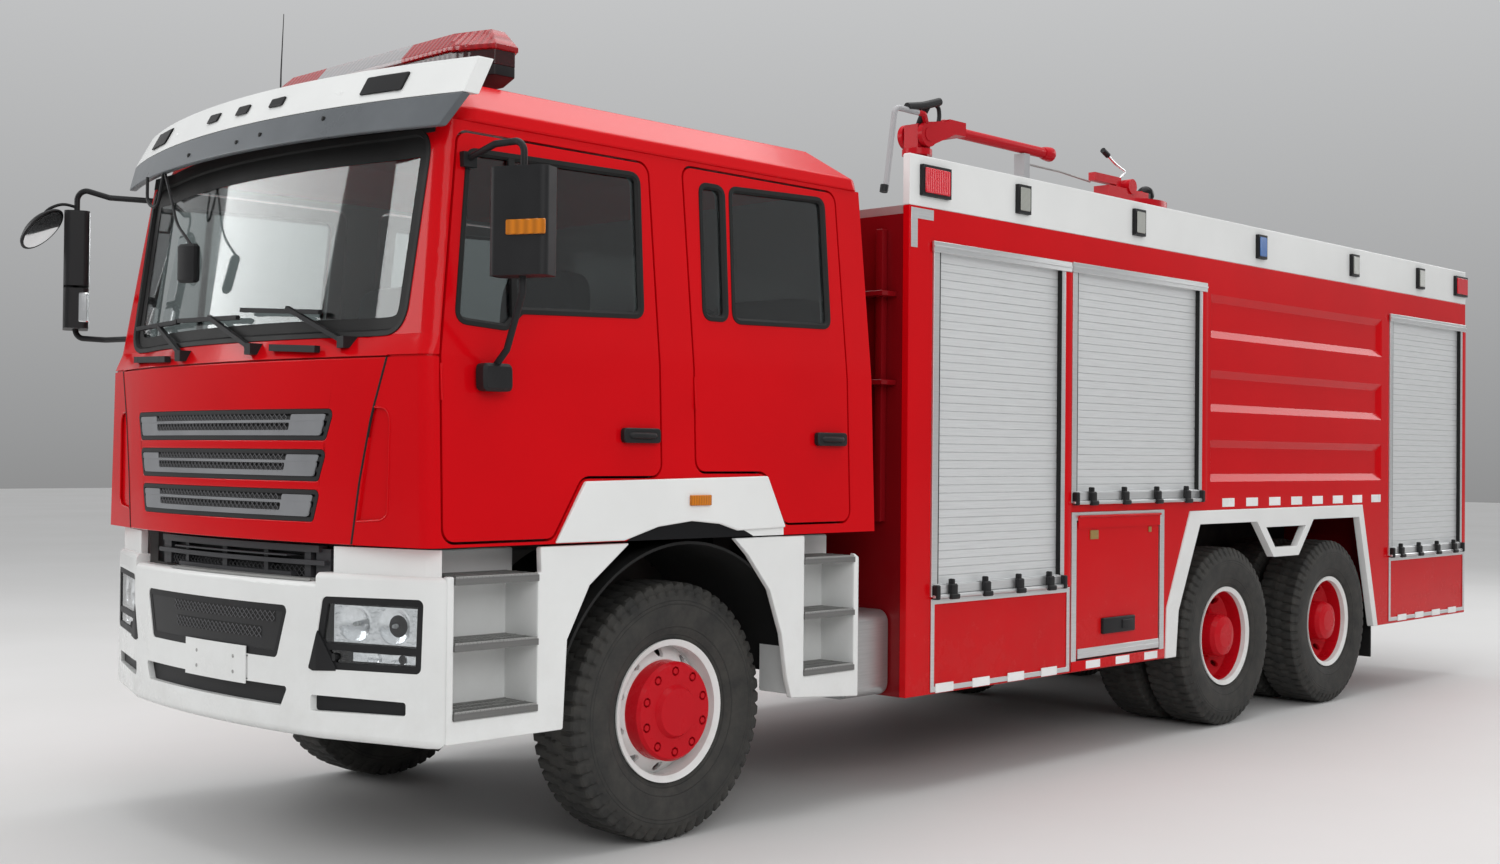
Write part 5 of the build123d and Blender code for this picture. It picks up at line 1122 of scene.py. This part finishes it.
show("panel_seams", both(along_front(PANEL_SEAM, -2.0, 5.0)), rubber)
show("corner_beads", both(along_front(CORNER_BEAD, -1.0, 4.0)), red)
VISOR_BOLTS = [(1427, -328, 2842), (1438, 80, 2846), (1425, 238, 2859), (1373, 612, 2882)]
bolts = [lathe([(0, -6), (10, -6), (10, 3), (6, 6), (0, 6)], place, 0, 14) for place in VISOR_BOLTS]
show("visor_bolts", together(bolts), rubber)
print("visor bolts:", len(bolts))

# %% [markdown]
# ## Lamps, marks and clips of the body
# The band lamps are black boxes with a lens let in. Each lens is a plate with eased edges,
# because a flat disc of colour would not glint along its rim.

# %% Lamps of the body
BAND_LAMPS = [(-1601, 111, red_lens), (-2334, 56, band_lens), (-3461, 56, band_lens), (-4906, 56, blue_lens),
              (-6234, 56, band_lens), (-7331, 56, band_lens), (-8076, 111, red_lens)]
LAMP_Z, LAMP_HALF, LAMP_PROUD = 2936.0, 74.0, 22.0
for number, (x, half, colour) in enumerate(BAND_LAMPS):
    glass = plate(patch((x - half + 13, LAMP_Z - LAMP_HALF + 14), (x + half - 13, LAMP_Z + LAMP_HALF - 14), 8),
                  on_body, LAMP_PROUD - 1, LAMP_PROUD + 7, 4)
    show("band_lens_%d" % number, both(glass), colour)
show("arch_markers", both(bar((-87, 1261, 1401), (33, 1274, 1445), 5)), amber_lens)
tail = [bar((-8238, 830, 1010), (-8229, 940, 1120), 3), bar((-8238, 950, 1010), (-8229, 1050, 1120), 3)]
show("tail_red", both(tail[0]), red_lens)
show("tail_amber", both(tail[1]), amber_lens)
show("tail_white", both(bar((-8238, 1060, 1010), (-8229, 1170, 1120), 3)), white_lens)
print("band lamps on each side:", len(BAND_LAMPS))

# %% [markdown]
# ## Shutters
# A roller shutter ends in a bar with four clips, runs between jambs with a rubber lip, and
# has a cap over its drum. A black strip on the side face of each rear jamb is painted
# shade. The slats are in the solid, so only these strips are added. Every one is an
# upright bar, counted from the shutter's own front, back and foot.

# %% Shutter bars, seals, painted jamb shade and clips
SHUTTERS = [(-1599, -2795, 936), (-2807, -4244, 1372), (-6826, -8180, 945)]
CLIP_SHARES = (0.12, 0.35, 0.59, 0.82)
SHUTTER_TOP = {936: 2650, 1372: 2654, 945: 2646}
JAMB_SHADE_STRIP, JAMB, FILL = (95, 103), (62, 100), (0, 62)
clips, bars, seals_and_jamb_shade, fills = [], [], [], []


def strip(first, last, low, high, inner, outer, ease=2.0):
    """An upright bar on the body's side, between two stations, two heights and two distances out."""
    return bar((first, BODY_HALF + inner, low), (last, BODY_HALF + outer, high), ease)


for front, back, low in SHUTTERS:
    high = SHUTTER_TOP[low]
    end = back + FILL[1]
    bars.append(strip(end, front - 6, low + 14, low + 56, 6, 16, 3))
    bars.append(strip(end - 6, front - 2, low - 8, low + 12, 6, 34, 9))
    bars.append(strip(back + 18, front + 16, high - 50, high + 2, 6, 20, 4))
    bars.append(strip(back + 18, front + 16, high - 28, high - 18, 18, 24, 3))
    bars.append(strip(back + JAMB[0], back + JAMB[1], low + 56, high - 48, 4, 12, 3))
    # Painted shade: a black strip on the side face of the rear jamb stands for the shade in that recess.
    seals_and_jamb_shade.append(strip(back + JAMB_SHADE_STRIP[0], back + JAMB_SHADE_STRIP[1], low + 58, high - 48, -15, 11, 1))
    seals_and_jamb_shade.append(strip(front - 58, front - 46, low + 58, high - 48, -14, 4, 2))
    fills.append(strip(back + FILL[0] - 2, back + FILL[1], low - 2, high - 50, 4, 10.5, 1))
    for tip in (end + 6, front - 34):
        clips.append(strip(tip, tip + 30, low - 12, low + 58, 6, 40, 8))
    for share in CLIP_SHARES:
        x = front + share * (back - front)
        clips.append(strip(x - 26, x + 26, low - 6, low + 60, 12, 42, 10))
        clips.append(strip(x - 11, x + 11, low + 50, low + 84, 6, 34, 6))
        clips.append(strip(x - 34, x + 34, low - 14, low + 12, 26, 50, 8))
show("shutter_bars", both(together(bars)), silver)
show("shutter_seals_and_jamb_shade", both(together(seals_and_jamb_shade)), rubber)
show("shutter_clips", both(together(clips)), black)
fills.append(strip(-3766, -2810, 476, 527, 4, 10.5, 1))
show("red_fills", both(together(fills)), red)

print("shutters on each side:", len(SHUTTERS), "clips:", len(clips))

# %% [markdown]
# ## Reflecting dashes and locker fittings
# White reflecting dashes run along the lower edge and over the rear arch, all at one pitch.
# They are films, so they stand off by a millimetre or two. The locker's handle, rail and
# brass plates ride on its door.

# %% Dashes and locker fittings
DASH_PITCH, LOW_DASH, ARCH_DASH = 299.0, 140, 150
LOW_ROWS = [(-1634, 4, 474, 518), (-2949, 3, 480, 522), (-6972, 4, 482, 524)]
dashes = []
for first, count, low, high in LOW_ROWS:
    for x in first - DASH_PITCH * np.arange(count):
        dashes.append(strip(x - LOW_DASH, x, low, high, 6, 12, 0.8))
for x in -4448.0 - DASH_PITCH * np.arange(8):
    dashes.append(plate(patch((x - ARCH_DASH, 1326), (x, 1378), 1, 2), on_body, 0.3, 1.6, 0.4))
show("reflective_dashes", both(together(dashes)), reflector_white)
locker_bits = {
    "handle": (black, [strip(-3432, -3106, 656, 742, 1, 22, 7), strip(-3400, -3290, 676, 724, 16, 30, 8)]),
    "rail": (silver, [strip(-3706, -2872, 538, 590, 1, 9, 2), strip(-3706, -2872, 560, 566, 7, 12, 1)]),
    "brass": (brass, [strip(-3072, -2992, 1174, 1223, 1, 8, 3), strip(-3622, -3594, 1198, 1228, 1, 9, 4)]),
}
for name, (finish, shapes) in locker_bits.items():
    for side, turn in (("left", lambda shape: shape), ("right", flipped)):
        show("locker_%s_%s" % (name, side), turn(together(shapes)), finish, "locker_door_" + side)
corner_mark = [plate(patch((-1476, 2610), (-1426, 2800), 1, 2), on_body, 0.3, 1.6, 0.4),
               plate(patch((-1600, 2750), (-1476, 2800), 1, 2), on_body, 0.3, 1.6, 0.4)]
show("corner_marks", both(together(corner_mark)), silver)
print("dashes on each side:", len(dashes))

# %% [markdown]
# ## Steps
# The treads are gratings: thin bars stand across each tread, and four rails tie them, so
# that a wet boot doesn't slip and mud falls through.

# %% Step gratings
STEP_LEVELS = (1152.0, 910.0, 660.0)
STEP_SPANS = ((818, 1190), (-1030, -708))
teeth = []
for first, last in STEP_SPANS:
    for level in STEP_LEVELS:
        for x in np.arange(first, last, 17.0):
            teeth.append(bar((x, 1050, level - 0.5), (x + 5, FENDER_OUT + 5, level + 7), 1.2, 2))
        for y in (1058, 1118, 1180, FENDER_OUT):
            teeth.append(bar((first - 4, y - 3, level - 0.5), (last + 4, y + 3, level + 8), 1.2, 2))
show("step_gratings", both(together(teeth)), steel)
print("grating bars on each side:", len(teeth))

# %% [markdown]
# ## Mirrors and aerial
# The mirror housings are solids. Their glass, the orange repeater, the round close-up
# mirror and the small mirror that looks down at the kerb are added here. A pane is a thin
# polished plate in its housing's own axes, turned with the housing.

# %% Mirrors and aerial
LEFT_MIRROR, RIGHT_MIRROR = (1075.0, 1462.0), (1385.0, -1462.0)


def on_housing(centre, angle, low, high, ease=5.0):
    """A box given in a housing's own axes, turned about the vertical through its centre."""
    x, y = centre
    shape = bar((x + low[0], y + low[1], low[2]), (x + high[0], y + high[1], high[2]), ease)
    return turned(shape, 2, angle, (x, y, 0.0))


MIRROR_TURN = 24
RIGHT_PANES = ((2374, 2696), (2178, 2338))
repeater = on_housing(LEFT_MIRROR, MIRROR_TURN, (50, -40, 2392), (63, 117, 2446), 6)
show("mirror_repeater", repeater, amber_lens, "front_door_left")
glass_left = on_housing(LEFT_MIRROR, MIRROR_TURN, (-58, -104, 2262), (-53, 104, 2626), 2)
show("mirror_glass_left", glass_left, chrome, "front_door_left")
glass_right = [on_housing(RIGHT_MIRROR, -MIRROR_TURN, (-58, -104, low), (-53, 104, high), 2)
               for low, high in RIGHT_PANES]
glass_right.append(on_housing(RIGHT_MIRROR, -MIRROR_TURN, (-56, 96, 2194), (-10, 121, 2330), 9))
show("mirror_glass_right", together(glass_right), chrome)

foot = plate(patch((972, 1838), (1108, 1942), 26), on_side, 1, 68, 12)
show("mirror_foot", foot, black, "front_door_left")
ROUND_AT, ROUND_TURN, ROUND_NOD = np.array([1536.0, -1508.0, 2630.0]), 130.0, 42.0


def aimed(shape):
    """A piece made round the x axis, nodded down, turned about the vertical, and set in place."""
    points, quads = turned(turned(shape, 1, ROUND_NOD), 2, ROUND_TURN)
    return points + ROUND_AT, quads


DISH = [(0, -30), (46, -28), (88, -16), (116, 2), (121, 12), (118, 16), (108, 16), (0, 14)]
FACE = [(0, 22), (60, 20), (108, 16.5), (0, 14.8)]
dish, face = (lathe(profile, (0, 0, 0), 0, 48) for profile in (DISH, FACE))
round_arm = tube(bent([(1385, -1462, 2735), (1450, -1470, 2748), (1512, -1500, 2716), (1540, -1520, 2650)], 40), 7)
show("round_mirror", together([aimed(dish), round_arm]), black)
show("round_glass", aimed(face), chrome)
down = turned(bar((-24, -48, -80), (20, 48, 80), 18), 2, 18)
down_at = np.array([1470.0, -240.0, 2380.0])
loop_arm = [tube(bent([(1392, -600, 2800), (1420, -475, 2650), (1440, -400, 2560), (1468, -215, 2450)], 60), 6),
            tube(bent([(1392, -760, 2800), (1405, -735, 2680), (1405, -640, 2650), (1395, -610, 2800)], 60), 7)]
show("kerb_mirror", together([(down[0] + down_at, down[1])] + loop_arm), black)
aerial = tube([(1050, -250, 3040), (1046, -252, 3250), (1034, -256, 3500)], [4.5, 3.2, 1.6], 8)
aerial_foot = lathe([(0, 0), (16, 0), (13, 18), (5, 40), (0, 42)], (1050, -250, 3030), 2, 16)
show("aerial", together([aerial, aerial_foot]), black)
print("mirror panes on the right:", len(glass_right))

# %% [markdown]
# ## Monitor and hatch fittings
# Rubber grips on the monitor's bars, the rings at its neck and nozzle, and the chrome lever
# of the tank hatch. They are bent tubes and turned rings, and those on the monitor ride on
# its barrel, because a hand would move them with it.

# %% Monitor and hatch fittings
GRIP_Y = 122.0
grips = [tube(bent([(-2800, GRIP_Y, 3640), (-2950, GRIP_Y, 3668), (-3105, GRIP_Y, 3716)], 40), [24] * 9, 12),
         tube(bent([(-2990, GRIP_Y, 3670), (-3010, 60, 3610), (-3030, 20, 3560)], 30), 20, 12),
         tube(bent([(-3170, 40, 3560), (-3215, 40, 3640), (-3205, 40, 3712), (-3150, 40, 3722)], 40), 13, 10),
         tube([(-2600, GRIP_Y, 3160), (-2592, GRIP_Y, 3120)], 24, 12)]
show("monitor_grips", together(grips), black, "monitor_barrel")
neck_ring = lathe([(0, 0), (58, 0), (60, 8), (60, 26), (58, 34), (0, 34)], (-3330, 0, 3596), 0, 32)
nozzle = lathe([(26, 0), (46, 0), (48, 8), (44, 60), (38, 90), (26, 90)], (-4452, 0, 3596), 0, 32)
show("monitor_collars", together([neck_ring, nozzle]), monitor_red, "monitor_barrel")
lever = tube(bent([(-5300, 0, 3545), (-5379, 0, 3600), (-5240, 0, 3640), (-5120, 0, 3696)], 30), 9, 10)
show("hatch_lever", lever, chrome)
show("hatch_grip", tube([(-5150, 0, 3684), (-5085, 0, 3712)], 20, 12), black)
rod = tube([(-4199, 0, 3500), (-4560, 0, 3500), (-4928, 0, 3478)], 7, 8)
show("hatch_rod", rod, steel)
print("grips on the monitor:", len(grips))

# %% [markdown]
# ## Seats
# Foam cushions bulge: a box whose faces swell by the product of two parabolas, so that
# the swell is nought along every edge and greatest in the middle. Cosines and sines raised
# to a small power give the box its rounded corners.

# %% Seats
CAB_FLOOR = 1315.0


CORNER_POWER = 0.32


def squared(wave):
    """A cosine or sine with its sign kept and its size raised to a small power."""
    return np.sign(wave) * np.abs(wave) ** CORNER_POWER


def cushion(low, high, swell=16.0, steps=14):
    """A rounded box whose big faces swell by s * (1 - u^2) * (1 - v^2)."""
    low, high = np.asarray(low, float), np.asarray(high, float)
    middle, half = (low + high) / 2, (high - low) / 2
    angle = np.linspace(-np.pi / 2, np.pi / 2, 2 * steps + 1)
    turn = np.linspace(0, 2 * np.pi, 8 * steps, endpoint=False)
    reach, rise = squared(np.cos(angle))[:, None], squared(np.sin(angle))[:, None]
    across, along = squared(np.cos(turn))[None], squared(np.sin(turn))[None]
    unit = np.stack([reach * across, reach * along, rise + 0 * across], -1)
    puff = swell * (1 - unit[..., 0] ** 2) * (1 - unit[..., 1] ** 2) * np.sign(unit[..., 2])
    grid = middle + unit * half
    grid[..., 2] += puff
    return skin(grid, round_v=True)


cushions = []
for y in (-560, 560):
    cushions.append(cushion((250, y - 255, CAB_FLOOR + 240), (730, y + 255, CAB_FLOOR + 425)))
    rest = cushion((200, y - 245, CAB_FLOOR + 400), (345, y + 245, CAB_FLOOR + 1075), 0)
    cushions.append(turned(rest, 1, -4, (270, y, CAB_FLOOR + 420)))
for y in (-720, 0, 720):
    cushions.append(cushion((-1045, y - 352, CAB_FLOOR + 240), (-550, y + 352, CAB_FLOOR + 425)))
    cushions.append(cushion((-1082, y - 352, CAB_FLOOR + 400), (-925, y + 352, CAB_FLOOR + 1035), 0))
plinths = [bar((270, y - 220, CAB_FLOOR), (700, y + 220, CAB_FLOOR + 250), 12) for y in (-560, 560)]
plinths.append(bar((-1040, -1070, CAB_FLOOR), (-580, 1070, CAB_FLOOR + 250), 12))
seat_pads = show("seat_cushions", together(cushions), seat_cloth, stands_for=["seats"])
show("seat_plinths", together(plinths), black)
print("cushions:", len(cushions))

# %% [markdown]
# ## Between cab and body
# Two shelves and their uprights cross the dark gap behind the cab. They are seen only as
# edges in the shade, so plain bars are enough.

# %% Shelves behind the cab
shelves = [bar((-1410, -1180, z - 12), (-1300, 1180, z + 12), 4) for z in (1964, 2386)]
shelves += [bar((-1412, y - 20, 1300), (-1372, y + 20, 2700), 4) for y in (-1100, 1100)]
show("gap_shelves", together(shelves), dark_red)
print("bars in the gap:", len(shelves))
